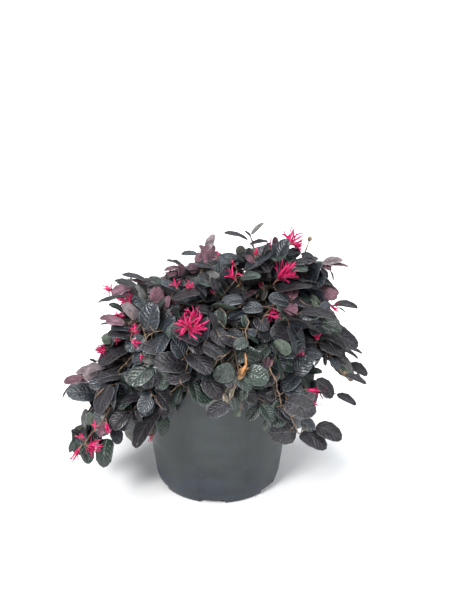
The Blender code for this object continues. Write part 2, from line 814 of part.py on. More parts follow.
def main():
    for old in list(bpy.data.objects):
        bpy.data.objects.remove(old, do_unlink=True)
    plastic = material("slate_plastic", (0.075, 0.085, 0.095), 0.45)
    mix = material("potting_mix", (0.060, 0.040, 0.026), 0.95)
    bark = material("bark", (0.30, 0.20, 0.11), 0.80)
    foliage = material("purple_foliage", (0.050, 0.030, 0.042), 0.42)

    pot = build_pot(plastic)
    soil = build_mix(mix)
    stem = build_stem(bark)

    curves = lay_out_limbs()
    bare = {name: bare_length(name, curve) for name, curve in curves.items()}
    lines = {}
    starts = {}
    boughs = {}
    for name, shoot in SHOOTS.items():
        curve = curves[name]
        lines[name] = [curve.place(along) for along in curve.stretch(bare[name], curve.length, 0.003)]
        lines[name].append(at(shoot.bearing, shoot.reach, shoot.height))
        boughs[name] = grow_bough(name, curves, bare, starts, bark)
    fixed = [grown(body, POT_CLEARANCE) for body in (pot, soil, stem)] + list(boughs.values())
    fixed = [BVHTree.FromBMesh(shape) for shape in fixed]
    shoots = {}
    for name, shoot in SHOOTS.items():
        curve = curves[name]
        whole = limb(shoot, curve, bare[name], curve.length, SHOOT_STEP, SHOOT_SIDES, 2 * GAP)
        shoots[name] = BVHTree.FromBMesh(whole)

    spaces = Spaces(lines)
    total = 0
    for number, name in enumerate(SHOOTS):
        made = None
        tries = 0
        while made is None:
            rng = random.Random(SEED * 1000 + number * 10 + tries)
            blocked = [tree for other, tree in shoots.items() if other != name]
            mass = Mass(name, curves[name], spaces, fixed + blocked, rng)
            mass.grow(bare[name] + GAP)
            made = mass.fuse(foliage)
            tries += 1
        fixed.append(BVHTree.FromBMesh(grown(made, GAP)))
        total += len(mass.leaves)
        print(name, len(mass.leaves), "of", len(mass.slots), len(made.data.polygons), tries)
    print(total, "leaves in all")


main()
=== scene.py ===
import json
import math
import random
from collections import namedtuple

import bpy
import numpy as np
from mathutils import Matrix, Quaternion, Vector
from mathutils.bvhtree import BVHTree
from mathutils.kdtree import KDTree

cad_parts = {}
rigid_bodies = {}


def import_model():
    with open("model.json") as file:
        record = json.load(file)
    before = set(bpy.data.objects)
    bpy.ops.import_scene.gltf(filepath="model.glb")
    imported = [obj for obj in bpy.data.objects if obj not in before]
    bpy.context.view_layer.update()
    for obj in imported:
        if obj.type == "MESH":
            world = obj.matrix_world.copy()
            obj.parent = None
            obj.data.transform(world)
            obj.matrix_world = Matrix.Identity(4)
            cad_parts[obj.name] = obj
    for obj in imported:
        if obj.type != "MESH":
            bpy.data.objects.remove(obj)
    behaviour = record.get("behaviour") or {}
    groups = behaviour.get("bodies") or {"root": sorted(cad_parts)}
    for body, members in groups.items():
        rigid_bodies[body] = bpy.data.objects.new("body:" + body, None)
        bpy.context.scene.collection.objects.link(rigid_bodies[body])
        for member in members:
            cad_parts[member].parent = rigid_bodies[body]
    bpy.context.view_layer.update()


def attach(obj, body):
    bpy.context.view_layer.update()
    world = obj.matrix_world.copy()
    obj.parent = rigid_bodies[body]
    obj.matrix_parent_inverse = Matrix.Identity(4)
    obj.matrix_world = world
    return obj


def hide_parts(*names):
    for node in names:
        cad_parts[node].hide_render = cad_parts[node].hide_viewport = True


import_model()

scene = bpy.context.scene
rng = random.Random(20)


# Camera
# It stands before the potted plant, a little above the crown, and looks slightly down on it.
# A bearing below is turned from the front towards the right, and a reach is out from the pot's axis.
def at(bearing, reach, height):
    turn = math.radians(bearing)
    return Vector((reach * math.sin(turn), -reach * math.cos(turn), height))


def heading(bearing, climb):
    tilt = math.radians(climb)
    return at(bearing, math.cos(tilt), math.sin(tilt))


EYE = Vector((0.0106, -0.934, 0.557))
LENS = 42
FOCUS = LENS / 36 * 600
camera_turn = Quaternion((1, 0, 0), math.radians(72.9))
bpy.ops.object.select_all(action="DESELECT")
bpy.ops.object.camera_add(location=EYE, rotation=camera_turn.to_euler())
camera = bpy.context.object
camera.data.sensor_fit = "VERTICAL"
camera.data.sensor_height = 36
camera.data.lens = LENS
scene.camera = camera
toward = camera_turn @ Vector((0, 0, 1))
sight_axes = np.array([tuple(camera_turn @ Vector(axis)) for axis in ((1, 0, 0), (0, -1, 0), (0, 0, -1))])


def sight(across, down):
    """The way to what shows at a place of the picture, which is 450 dots wide and 600 high."""
    return camera_turn @ Vector(((across - 225) / FOCUS, (300 - down) / FOCUS, -1))


def seen(points):
    """Where points show in the picture, across and down, and how far away they are."""
    away = np.array([tuple(point - EYE) for point in points]) @ sight_axes.T
    return 225 + FOCUS * away[:, 0] / away[:, 2], 300 + FOCUS * away[:, 1] / away[:, 2], away[:, 2]


# Pot
# A two-gallon nursery pot, moulded in slate-grey plastic with a satin skin. Its foot ring has six
# drain slots, the floor inside is raised as a channel round a flat pad, and the lip is rolled over.
POT_HEIGHT = 0.190
POT_SIDES = 144
POT_RIM = 0.115
POT_SHOULDER = 0.111
POT_LIP = 0.011
POT_BELLY = (0.0954, 0.046)
POT_HEEL = (0.0889, 0.006)
POT_FOOT = 0.0845
POT_PAD = 0.056
POT_WALL = 0.0018
POT_CHANNEL = 0.009
SLOT_WIDTH = 0.035
SLOT_HEIGHT = 0.007
SLOT_BEARING = -4.5
SLOT_COUNT = 6
DRAIN_HOLE = 0.006


def pot_inner_radius(height):
    """The pot's inner wall at a height above its floor."""
    low, high = (POT_HEEL, POT_BELLY) if height < POT_BELLY[1] else (POT_BELLY, (POT_SHOULDER, POT_HEIGHT - POT_LIP))
    share = (height - low[1]) / (high[1] - low[1])
    return low[0] + share * (high[0] - low[0]) - POT_WALL


def raise_rings(name, rings, sides):
    """Draws a ring of edges out from one radius and height to the next, and closes both ends."""
    bpy.ops.object.select_all(action="DESELECT")
    bpy.ops.mesh.primitive_circle_add(vertices=sides, radius=rings[0][0], fill_type="NOTHING")
    made = bpy.context.object
    made.name = name
    bpy.ops.object.mode_set(mode="EDIT")
    bpy.ops.mesh.select_mode(type="EDGE")
    bpy.ops.mesh.select_all(action="SELECT")
    bpy.ops.transform.translate(value=(0, 0, rings[0][1]))
    for (near, low), (far, high) in zip(rings, rings[1:]):
        bpy.ops.mesh.extrude_region_move(TRANSFORM_OT_translate={"value": (0, 0, high - low)})
        bpy.ops.transform.resize(value=(far / near, far / near, 1))
    bpy.ops.mesh.select_all(action="DESELECT")
    bpy.ops.mesh.select_non_manifold()
    bpy.ops.mesh.fill_holes(sides=0)
    bpy.ops.mesh.select_all(action="SELECT")
    bpy.ops.mesh.normals_make_consistent(inside=False)
    bpy.ops.object.mode_set(mode="OBJECT")
    return made


def fillet(rings, width, count=3):
    """Rounds every corner of a profile between its ends with a short curve."""
    rounded = [rings[0]]
    for before, corner, after in zip(rings, rings[1:], rings[2:]):
        corner = Vector(corner)
        back = Vector(before) - corner
        on = Vector(after) - corner
        near = corner + back.normalized() * min(width, back.length * 0.45)
        far = corner + on.normalized() * min(width, on.length * 0.45)
        for step in range(count + 1):
            share = step / count
            point = near.lerp(corner, share).lerp(corner.lerp(far, share), share)
            rounded.append((point.x, point.y))
    return rounded + [rings[-1]]


lip_foot = POT_HEIGHT - POT_LIP
pot_floor = POT_CHANNEL + POT_WALL
underside = [
    (POT_PAD - 0.002, 0.0),
    (POT_PAD, 0.0),
    (POT_PAD + 0.0010, POT_CHANNEL),
    (POT_FOOT - POT_WALL, POT_CHANNEL),
    (POT_FOOT - POT_WALL, 0.0),
]
foot = [(POT_FOOT, 0.0), (0.0873, 0.0016), (POT_HEEL[0], POT_HEEL[1]), (0.0916, 0.016)]
outer_wall = [POT_BELLY, (0.0970, 0.060), (0.1033, 0.112), (POT_SHOULDER, lip_foot - 0.0008)]
lip = [
    (POT_RIM - 0.0006, lip_foot),
    (POT_RIM, lip_foot + 0.0016),
    (POT_RIM, POT_HEIGHT - 0.0020),
    (POT_RIM - 0.0016, POT_HEIGHT),
    (POT_RIM - 0.0042, POT_HEIGHT),
    (POT_SHOULDER - POT_WALL, POT_HEIGHT - 0.0030),
]
inner_wall = [
    (pot_inner_radius(lip_foot), lip_foot),
    (pot_inner_radius(POT_BELLY[1]), POT_BELLY[1]),
    (pot_inner_radius(pot_floor), pot_floor),
    (POT_PAD - POT_WALL, pot_floor),
    (POT_PAD - POT_WALL - 0.0010, POT_WALL),
    (POT_PAD - POT_WALL - 0.0030, POT_WALL),
]
profile = underside + foot + outer_wall + lip + inner_wall
pot = raise_rings("pot_shell", fillet(profile, 0.0007), POT_SIDES)

bpy.ops.object.select_all(action="DESELECT")
cutters = []
for number in range(SLOT_COUNT):
    bearing = SLOT_BEARING + number * 360 / SLOT_COUNT
    turn = (0, 0, math.radians(bearing))
    bpy.ops.mesh.primitive_cube_add(size=1, location=at(bearing, POT_FOOT, 0), rotation=turn)
    bpy.context.object.scale = (SLOT_WIDTH, 0.020, 2 * SLOT_HEIGHT)
    cutters.append(bpy.context.object)
    middle = (POT_PAD + POT_FOOT) / 2
    bpy.ops.mesh.primitive_cylinder_add(
        vertices=24, radius=DRAIN_HOLE, depth=0.010, location=at(bearing, middle, pot_floor)
    )
    cutters.append(bpy.context.object)
for cutter in cutters:
    cutter.select_set(True)
bpy.context.view_layer.objects.active = cutters[0]
bpy.ops.object.transform_apply(location=True, rotation=True, scale=True)
bpy.ops.object.join()
cutter = bpy.context.object
cut = pot.modifiers.new("drains", "BOOLEAN")
cut.operation = "DIFFERENCE"
cut.solver = "EXACT"
cut.object = cutter
bpy.context.view_layer.objects.active = pot
bpy.ops.object.modifier_apply(modifier=cut.name)
bpy.data.objects.remove(cutter, do_unlink=True)
bpy.ops.object.select_all(action="DESELECT")
pot.select_set(True)
bpy.ops.object.shade_smooth_by_angle(angle=math.radians(32))


class Finish:
    """A material under way: its nodes, its shader, and the object's own coordinates."""

    def __init__(self, name, roughness):
        self.material = bpy.data.materials.new(name)
        self.material.use_nodes = True
        self.nodes = self.material.node_tree.nodes
        self.links = self.material.node_tree.links
        self.shader = self.nodes["Principled BSDF"]
        self.shader.inputs["Roughness"].default_value = roughness

    def add(self, kind, **settings):
        made = self.nodes.new(kind)
        for name, value in settings.items():
            setattr(made, name, value)
        return made

    def place(self, stretch=(1, 1, 1)):
        """The object's coordinates, stretched."""
        if not hasattr(self, "coordinates"):
            self.coordinates = self.add("ShaderNodeTexCoord")
        mapping = self.add("ShaderNodeMapping")
        mapping.inputs["Scale"].default_value = stretch
        self.links.new(self.coordinates.outputs["Object"], mapping.inputs["Vector"])
        return mapping.outputs["Vector"]

    def noise(self, size, detail=3.0, stretch=(1, 1, 1)):
        """Cloudy noise with lumps of a size in metres."""
        made = self.add("ShaderNodeTexNoise")
        made.inputs["Scale"].default_value = 1.0 / size
        made.inputs["Detail"].default_value = detail
        self.links.new(self.place(stretch), made.inputs["Vector"])
        return made.outputs["Fac"]

    def ramp(self, factor, *stops):
        """Colours, or greys, that follow a factor."""
        made = self.add("ShaderNodeValToRGB")
        ramp = made.color_ramp
        while len(ramp.elements) < len(stops):
            ramp.elements.new(0.5)
        for element, (position, colour) in zip(ramp.elements, stops):
            element.position = position
            element.color = (*colour, 1) if isinstance(colour, tuple) else (colour, colour, colour, 1)
        self.links.new(factor, made.inputs["Fac"])
        return made.outputs["Color"]

    def mix(self, factor, first, second, blend="MIX"):
        made = self.add("ShaderNodeMix", data_type="RGBA", blend_type=blend)
        for value, name in ((factor, 0), (first, 6), (second, 7)):
            if isinstance(value, (int, float)):
                made.inputs[name].default_value = value
            elif isinstance(value, tuple):
                made.inputs[name].default_value = (*value, 1)
            else:
                self.links.new(value, made.inputs[name])
        return made.outputs[2]

    def colour(self, value):
        self.links.new(value, self.shader.inputs["Base Color"])

    def roughness(self, value):
        self.links.new(value, self.shader.inputs["Roughness"])

    def bump(self, height, strength, depth):
        """Relief of a depth in metres."""
        made = self.add("ShaderNodeBump")
        made.inputs["Strength"].default_value = strength
        made.inputs["Distance"].default_value = depth
        self.links.new(height, made.inputs["Height"])
        self.links.new(made.outputs["Normal"], self.shader.inputs["Normal"])


SLATE = (0.0180, 0.0235, 0.0248)
SLATE_BLUE = (0.0165, 0.0220, 0.0315)
DUST = (0.18, 0.19, 0.185)
plastic = Finish("slate_plastic", 0.42)
# The tone turns bluer towards the foot.
height = plastic.add("ShaderNodeSeparateXYZ")
plastic.links.new(plastic.place(), height.inputs[0])
cloud = plastic.noise(0.045, 3)
low = plastic.add("ShaderNodeMath", operation="MULTIPLY_ADD")
low.inputs[1].default_value = 6.0
plastic.links.new(height.outputs["Z"], low.inputs[0])
plastic.links.new(cloud, low.inputs[2])
tone = plastic.ramp(low.outputs[0], (0.62, SLATE_BLUE), (0.90, SLATE))
smears = plastic.noise(0.022, 5, (0.45, 0.45, 1))
streaks = plastic.noise(0.011, 4, (1, 1, 0.15))
tone = plastic.mix(1.0, tone, plastic.ramp(smears, (0.32, 0.72), (0.68, 1.34)), "MULTIPLY")
tone = plastic.mix(1.0, tone, plastic.ramp(streaks, (0.35, 0.92), (0.65, 1.10)), "MULTIPLY")
specks = plastic.ramp(plastic.noise(0.0022, 1), (0.72, 0.0), (0.78, 1.0))
plastic.colour(plastic.mix(specks, tone, plastic.mix(0.3, tone, DUST)))
plastic.roughness(plastic.ramp(smears, (0.3, 0.36), (0.7, 0.54)))
plastic.bump(plastic.noise(0.0011, 2), 0.25, 0.0002)
pot.data.materials.clear()
pot.data.materials.append(plastic.material)
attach(pot, "root")
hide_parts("pot")


# Potting mix
# Damp composted bark and peat that fills the pot to a finger below its rim, a little heaped round
# the stem. Loose chips of bark lie on it.
MIX_HEIGHT = 0.174
MIX_EDGE = 0.168
GAP = 0.0003
mix_floor = POT_CHANNEL + POT_WALL + GAP
pad_inner = POT_PAD - POT_WALL - 0.0010 - 2 * GAP
mix_rings = [
    (pad_inner * 0.5, POT_WALL + GAP),
    (pad_inner, POT_WALL + GAP),
    (pad_inner, mix_floor),
    (pot_inner_radius(mix_floor) - GAP, mix_floor),
    (pot_inner_radius(POT_BELLY[1]) - GAP, POT_BELLY[1]),
    (pot_inner_radius(MIX_EDGE) - GAP, MIX_EDGE),
]
edge = mix_rings[-1][0]
for step in range(1, 24):
    share = step / 24
    mix_rings.append((edge * (1 - share), MIX_EDGE + (MIX_HEIGHT - MIX_EDGE) * min(1, share * 1.3)))
mix = raise_rings("potting_mix_fill", mix_rings, 96)
clods = bpy.data.textures.new("clods", "CLOUDS")
clods.noise_scale = 0.011
clods.noise_depth = 3
top = mix.vertex_groups.new(name="top")
inner = [v.index for v in mix.data.vertices if v.co.z >= MIX_EDGE and math.hypot(v.co.x, v.co.y) < edge - 0.003]
top.add(inner, 1.0, "REPLACE")
heave = mix.modifiers.new("clods", "DISPLACE")
heave.texture = clods
heave.texture_coords = "LOCAL"
heave.vertex_group = "top"
heave.direction = "Z"
heave.mid_level = 0.75
heave.strength = 0.006
bpy.ops.object.select_all(action="DESELECT")
mix.select_set(True)
bpy.context.view_layer.objects.active = mix
bpy.ops.object.modifier_apply(modifier=heave.name)
bpy.ops.object.shade_smooth_by_angle(angle=math.radians(50))


class Heap:
    """Gathers the points and faces of many small shapes that become one mesh."""

    def __init__(self):
        self.points = []
        self.faces = []
        self.patches = []
        self.spots = []
        self.tones = []

    def add(self, points, faces, patch=0, spots=None, tone=None):
        """Takes a shape in. A patch is its material's number, spots are its UV places by point, and
        a tone tells the shape from its neighbours.
        """
        first = len(self.points)
        self.points.extend(points)
        self.faces.extend([tuple(first + corner for corner in face) for face in faces])
        patch = patch if isinstance(patch, list) else [patch] * len(faces)
        self.patches.extend(patch)
        if spots is not None:
            self.spots.extend(spots)
        if tone is not None:
            self.tones.extend([tone] * len(points))

    def make(self, name, finishes, angle=None):
        """The heap as one object, shaded smooth, with sharp edges past the angle."""
        mesh = bpy.data.meshes.new(name)
        mesh.from_pydata([tuple(point) for point in self.points], [], self.faces)
        for finish in finishes:
            mesh.materials.append(finish.material)
        mesh.polygons.foreach_set("material_index", self.patches)
        if self.spots:
            layer = mesh.uv_layers.new(name="blade")
            corners = np.empty(len(mesh.loops), dtype=np.int32)
            mesh.loops.foreach_get("vertex_index", corners)
            layer.data.foreach_set("uv", np.array(self.spots, dtype=np.float32)[corners].ravel())
        if self.tones:
            mesh.attributes.new("tone", "FLOAT", "POINT").data.foreach_set("value", self.tones)
        mesh.shade_smooth()
        if angle is not None:
            mesh.set_sharp_from_angle(angle=math.radians(angle))
        made = bpy.data.objects.new(name, mesh)
        scene.collection.objects.link(made)
        return made


CHIP_FACES = [(0, 3, 2, 1), (4, 5, 6, 7), (0, 1, 5, 4), (1, 2, 6, 5), (2, 3, 7, 6), (3, 0, 4, 7)]
chips = Heap()
for number in range(1300):
    out = (edge - 0.006) * math.sqrt(rng.uniform(0.02, 1))
    spot = at(rng.uniform(0, 360), out, 0)
    spot.z = MIX_EDGE + (MIX_HEIGHT - MIX_EDGE) * min(1, (1 - out / edge) * 1.3) - 0.0012
    size = rng.uniform(0.0016, 0.0046)
    half = Vector((size, size * rng.uniform(0.35, 0.8), size * rng.uniform(0.15, 0.4)))
    spin = Quaternion((0, 0, 1), rng.uniform(0, math.tau)) @ Quaternion((1, 0, 0), rng.uniform(-0.6, 0.6))
    corners = []
    for x, y, z in ((-1, -1, -1), (1, -1, -1), (1, 1, -1), (-1, 1, -1), (-1, -1, 1), (1, -1, 1), (1, 1, 1), (-1, 1, 1)):
        corner = Vector((x * half.x, y * half.y, z * half.z)) * rng.uniform(0.75, 1.1)
        corners.append(spot + spin @ corner)
    chips.add(corners, CHIP_FACES)

damp = Finish("damp_mix", 0.9)
crumbs = damp.noise(0.0035, 5)
damp.colour(damp.ramp(crumbs, (0.3, (0.018, 0.011, 0.007)), (0.55, (0.055, 0.034, 0.021)), (0.8, (0.12, 0.078, 0.048))))
damp.roughness(damp.ramp(crumbs, (0.3, 0.75), (0.7, 0.98)))
damp.bump(crumbs, 0.8, 0.0012)
chip_bark = Finish("chip_bark", 0.85)
fibres = chip_bark.noise(0.004, 4, (1, 2.5, 1))
chip_bark.colour(chip_bark.ramp(fibres, (0.3, (0.030, 0.017, 0.010)), (0.7, (0.115, 0.066, 0.036))))
chip_bark.roughness(chip_bark.ramp(fibres, (0.3, 0.7), (0.7, 0.95)))
chip_bark.bump(fibres, 0.6, 0.0005)
mix.data.materials.clear()
mix.data.materials.append(damp.material)
mix_chips = chips.make("potting_mix_chips", [chip_bark], 30)
for piece in (mix, mix_chips):
    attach(piece, "root")
    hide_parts("potting_mix")


# Woody stem and boughs
# The short trunk stands in the mix on root ridges and forks into eight primary boughs, and twenty
# more fork from those. Thin tan bark, grooved lengthwise, with small knuckles where shoots came off.
STEM_HEIGHT = 0.036
STEM_LEAN = Vector((0.004, -0.002, 0.0))
STEM_RADIUS = 0.0093
STEM_FOOT = 0.0125
STEM_RIDGES = 5
FORK_RING = 0.0064
PRIMARY_RADIUS = 0.0027
BRANCH_RADIUS = 0.0021
TIP_RADIUS = 0.0007
PRIMARY_BARE = 0.36
BRANCH_BARE = 0.24
SOLID_LEAF = 0.052

# A shoot springs from its parent at the share fork of the parent's length, and its outermost leaf
# lies at bearing, reach and height. It starts at the angle rise above level and ends at the angle
# fall, which is below level where the shoot weeps.
Shoot = namedtuple("Shoot", "parent fork bearing reach height rise fall")
SHOOTS = {
    "shoulder_front": Shoot("stem", 0, 2, 0.176, 0.238, 66, -28),
    "shoulder_front_right": Shoot("stem", 1, 48, 0.176, 0.240, 66, -34),
    "shoulder_right": Shoot("stem", 2, 94, 0.192, 0.266, 66, -12),
    "shoulder_back_right": Shoot("stem", 3, 138, 0.180, 0.246, 66, -30),
    "shoulder_back_left": Shoot("stem", 4, 218, 0.180, 0.256, 66, -28),
    "shoulder_left": Shoot("stem", 5, 262, 0.172, 0.268, 66, -16),
    "shoulder_front_left": Shoot("stem", 6, 312, 0.172, 0.232, 66, -38),
    "top": Shoot("stem", 7, 124, 0.054, 0.372, 84, 62),
    "front": Shoot("shoulder_front", 0.34, 12, 0.162, 0.140, 40, -76),
    "top_front": Shoot("shoulder_front", 0.26, -12, 0.100, 0.318, 74, 8),
    "front_right": Shoot("shoulder_front_right", 0.32, 38, 0.160, 0.108, 36, -80),
    "low_right": Shoot("shoulder_front_right", 0.24, 63, 0.186, 0.094, 44, -66),
    "right": Shoot("shoulder_right", 0.34, 88, 0.211, 0.160, 36, -44),
    "right_front": Shoot("shoulder_right", 0.29, 73, 0.198, 0.168, 36, -46),
    "top_far_right": Shoot("shoulder_right", 0.25, 96, 0.180, 0.322, 60, 14),
    "back_right": Shoot("shoulder_back_right", 0.34, 120, 0.200, 0.122, 36, -66),
    "back": Shoot("shoulder_back_right", 0.26, 166, 0.186, 0.112, 40, -70),
    "back_left": Shoot("shoulder_back_left", 0.34, 234, 0.196, 0.132, 36, -66),
    "shoulder_back": Shoot("shoulder_back_left", 0.25, 182, 0.182, 0.244, 54, -28),
    "low_back": Shoot("shoulder_back_left", 0.30, 202, 0.184, 0.132, 40, -70),
    "left": Shoot("shoulder_left", 0.32, 272, 0.221, 0.143, 36, -48),
    "low_left": Shoot("shoulder_left", 0.24, 288, 0.209, 0.058, 40, -72),
    "front_left": Shoot("shoulder_front_left", 0.34, 324, 0.160, 0.114, 36, -78),
    "left_front": Shoot("shoulder_front_left", 0.30, 304, 0.184, 0.112, 38, -66),
    "low_front": Shoot("shoulder_front_left", 0.26, 346, 0.158, 0.146, 46, -74),
    "top_left": Shoot("top", 0.28, 260, 0.098, 0.330, 56, 20),
    "top_right": Shoot("top", 0.36, 86, 0.112, 0.362, 58, 44),
    "top_back": Shoot("top", 0.24, 176, 0.110, 0.326, 58, 14),
}


class Line:
    """A limb's middle line: a cubic that leaves its start and reaches its end along set directions."""

    def __init__(self, start, leave, end, arrive):
        span = (end - start).length
        a, b, c, d = start, start + leave * span * 0.42, end - arrive * span * 0.40, end
        self.points = []
        for step in range(121):
            t = step / 120
            point = a * (1 - t) ** 3 + b * (3 * (1 - t) ** 2 * t) + c * (3 * (1 - t) * t**2) + d * t**3
            self.points.append(point)
        self.marks = [0.0]
        for before, after in zip(self.points, self.points[1:]):
            self.marks.append(self.marks[-1] + (after - before).length)
        self.length = self.marks[-1]

    def place(self, distance):
        distance = min(max(distance, 0.0), self.length)
        number = max(0, min(119, int(np.searchsorted(self.marks, distance)) - 1))
        share = (distance - self.marks[number]) / (self.marks[number + 1] - self.marks[number])
        return self.points[number].lerp(self.points[number + 1], share)

    def direction(self, distance):
        return (self.place(distance + 0.002) - self.place(distance - 0.002)).normalized()


stem_top = Vector((0, 0, MIX_HEIGHT + GAP + STEM_HEIGHT)) + STEM_LEAN
lines = {}
bare = {}
for name, shoot in SHOOTS.items():
    leave = heading(shoot.bearing, shoot.rise)
    arrive = heading(shoot.bearing, shoot.fall)
    end = at(shoot.bearing, shoot.reach, shoot.height) - arrive * (SOLID_LEAF * 0.9)
    if shoot.parent == "stem":
        start = stem_top + at(shoot.fork * 360 / 7, FORK_RING if shoot.fork < 7 else 0, 0.001)
        start.z += PRIMARY_RADIUS * math.cos(math.radians(shoot.rise))
    else:
        carrier = lines[shoot.parent]
        start = carrier.place(carrier.length * shoot.fork)
        leave = (leave + carrier.direction(carrier.length * shoot.fork)).normalized()
    lines[name] = Line(start, leave, end, arrive)
    forks = [other.fork + 0.05 for other in SHOOTS.values() if other.parent == name]
    share = max([PRIMARY_BARE] + forks) if shoot.parent == "stem" else BRANCH_BARE
    bare[name] = lines[name].length * share


def limb_radius(name, distance):
    base = PRIMARY_RADIUS if SHOOTS[name].parent == "stem" else BRANCH_RADIUS
    return base + (TIP_RADIUS - base) * min(1, distance / lines[name].length)


def lay_tube(heap, points, radii, sides, grooves=0.0):
    """Lays a tapering limb along points, closed at both ends, grooved lengthwise by a share."""
    count = len(points)
    ways = [(points[min(n + 1, count - 1)] - points[max(n - 1, 0)]).normalized() for n in range(count)]
    across = ways[0].orthogonal().normalized()
    ring_points = []
    for point, way, radius in zip(points, ways, radii):
        across = (across - way * across.dot(way)).normalized()
        other = way.cross(across)
        for side in range(sides):
            angle = math.tau * side / sides
            out = radius * (1 + grooves * (math.sin(3 * angle + point.z * 160) * 0.5 + rng.uniform(-0.6, 0.6)))
            ring_points.append(point + (across * math.cos(angle) + other * math.sin(angle)) * out)
    ring_points += [points[0] - ways[0] * radii[0] * 0.4, points[-1] + ways[-1] * radii[-1] * 0.6]
    faces = []
    for ring in range(count - 1):
        low = ring * sides
        for side in range(sides):
            beyond = (side + 1) % sides
            faces.append((low + side, low + beyond, low + sides + beyond, low + sides + side))
    last = (count - 1) * sides
    for side in range(sides):
        beyond = (side + 1) % sides
        faces.append((beyond, side, count * sides))
        faces.append((last + side, last + beyond, count * sides + 1))
    heap.add(ring_points, faces)


limbs = Heap()
stem_rings = []
STEM_LEVELS = 22
STEM_SIDES = 40
for level in range(STEM_LEVELS):
    share = level / (STEM_LEVELS - 1)
    flare = (1 - share) ** 4
    centre = Vector((0, 0, MIX_HEIGHT - 0.003 + (STEM_HEIGHT + 0.004) * share)) + STEM_LEAN * share
    crown = math.sqrt(max(0.0, 1 - max(0.0, share - 0.9) ** 2 * 60))
    for side in range(STEM_SIDES):
        angle = math.tau * side / STEM_SIDES
        out = STEM_RADIUS + flare * (STEM_FOOT - STEM_RADIUS)
        out += 0.0035 * flare * math.cos(STEM_RIDGES * angle + share)
        groove = math.sin(angle * 9 + share * 5) * math.sin(share * 23 + angle * 2)
        out += 0.0004 * groove + rng.uniform(-0.00022, 0.00022)
        stem_rings.append(centre + Vector((math.cos(angle), math.sin(angle), 0)) * out * crown)
stem_faces = []
for ring in range(STEM_LEVELS - 1):
    low = ring * STEM_SIDES
    for side in range(STEM_SIDES):
        beyond = (side + 1) % STEM_SIDES
        stem_faces.append((low + side, low + beyond, low + STEM_SIDES + beyond, low + STEM_SIDES + side))
stem_faces.append(tuple(reversed(range(STEM_SIDES))))
stem_faces.append(tuple(range((STEM_LEVELS - 1) * STEM_SIDES, STEM_LEVELS * STEM_SIDES)))
limbs.add(stem_rings, stem_faces)

for name, shoot in SHOOTS.items():
    line = lines[name]
    first = -0.004 if shoot.parent == "stem" else 0.0
    points = []
    radii = []
    steps = int((bare[name] + 0.001 - first) / 0.0035)
    for step in range(steps + 1):
        distance = first + (bare[name] + 0.001 - first) * step / steps
        point = line.place(distance)
        if distance < 0:
            point = point + line.direction(0) * distance
        points.append(point)
        collar = 0.0011 * math.exp(-max(distance, 0) / 0.004)
        knuckle = 0.00035 * max(0.0, math.sin(distance / 0.019 * math.pi)) ** 24
        radii.append(limb_radius(name, max(distance, 0)) + collar + knuckle)
    lay_tube(limbs, points, radii, 12, 0.07)

bark = Finish("tan_bark", 0.82)
grain = bark.noise(0.0030, 5, (1, 1, 0.28))
patches = bark.noise(0.011, 3)
tone = bark.ramp(grain, (0.30, (0.085, 0.055, 0.034)), (0.52, (0.24, 0.165, 0.095)), (0.75, (0.40, 0.29, 0.18)))
bark.colour(bark.mix(bark.ramp(patches, (0.42, 0.0), (0.62, 0.55)), tone, (0.25, 0.12, 0.050)))
bark.roughness(bark.ramp(grain, (0.3, 0.70), (0.7, 0.92)))
bark.bump(grain, 0.9, 0.0006)
wood = limbs.make("woody_stem_and_boughs", [bark], 70)
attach(wood, "root")
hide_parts("woody_stem", *["bough_" + name for name in SHOOTS])


# Shoots and twigs
# Each bough goes on as a leafy shoot that weeps at its tip. Twigs leave it left and right in turn,
# and finer twigs leave those. All keep to the mass's own space and clear of the pot.
TWIG_SPACING = 0.0125
TWIG_LENGTH = 0.050
TWIG_ANGLE = 52
FINE_SPACING = 0.014
FINE_LENGTH = 0.020
LEAF_SPACING = 0.0105
LEAF_LENGTH = 0.040
CROWN_HEART = Vector((0, 0, 0.205))
BORDER = 0.018
MASS_RADIUS = 0.062
OVERREACH = 0.006
POT_CLEARANCE = 0.0015
# The crown's outline from the front, in the picture. Single leaves and sprigs may stand out of it.
OUTLINE = (
    (118, 280), (131, 273), (148, 278), (162, 278), (170, 270), (183, 266), (196, 262), (197, 253),
    (201, 246), (207, 238), (214, 238), (214, 248), (222, 257), (236, 252), (240, 247), (250, 250),
    (268, 241), (285, 238), (300, 239), (307, 250), (315, 258), (328, 255), (338, 258), (337, 266),
    (331, 267), (326, 276), (334, 288), (338, 294), (334, 300), (338, 306), (338, 320), (350, 331),
    (356, 342), (352, 349), (345, 352), (351, 363), (364, 369), (366, 378), (350, 380), (340, 375),
    (326, 362), (322, 356), (314, 360), (315, 370), (306, 375), (307, 382), (316, 386), (317, 379),
    (322, 376), (337, 394), (328, 398), (316, 398), (318, 408), (315, 413), (316, 423), (322, 420),
    (331, 424), (340, 436), (328, 438), (325, 449), (316, 446), (310, 444), (298, 440), (283, 445),
    (270, 437), (267, 422), (247, 419), (243, 405), (237, 410), (229, 410), (222, 417), (207, 417),
    (204, 404), (188, 400), (172, 413), (170, 434), (155, 437), (150, 440), (138, 444), (126, 432),
    (123, 441), (115, 444), (113, 456), (106, 465), (97, 460), (92, 462), (80, 455), (72, 452),
    (69, 438), (76, 428), (80, 418), (88, 410), (93, 405), (90, 399), (75, 400), (67, 392),
    (70, 383), (80, 370), (92, 363), (102, 350), (102, 340), (105, 333), (112, 325), (103, 321),
    (102, 317), (116, 312), (122, 307), (124, 300), (112, 293),
)
outline = np.array(OUTLINE + OUTLINE[:1], dtype=float)


def search_tree(points):
    tree = KDTree(len(points))
    for number, point in enumerate(points):
        tree.insert(point, number)
    tree.balance()
    return tree


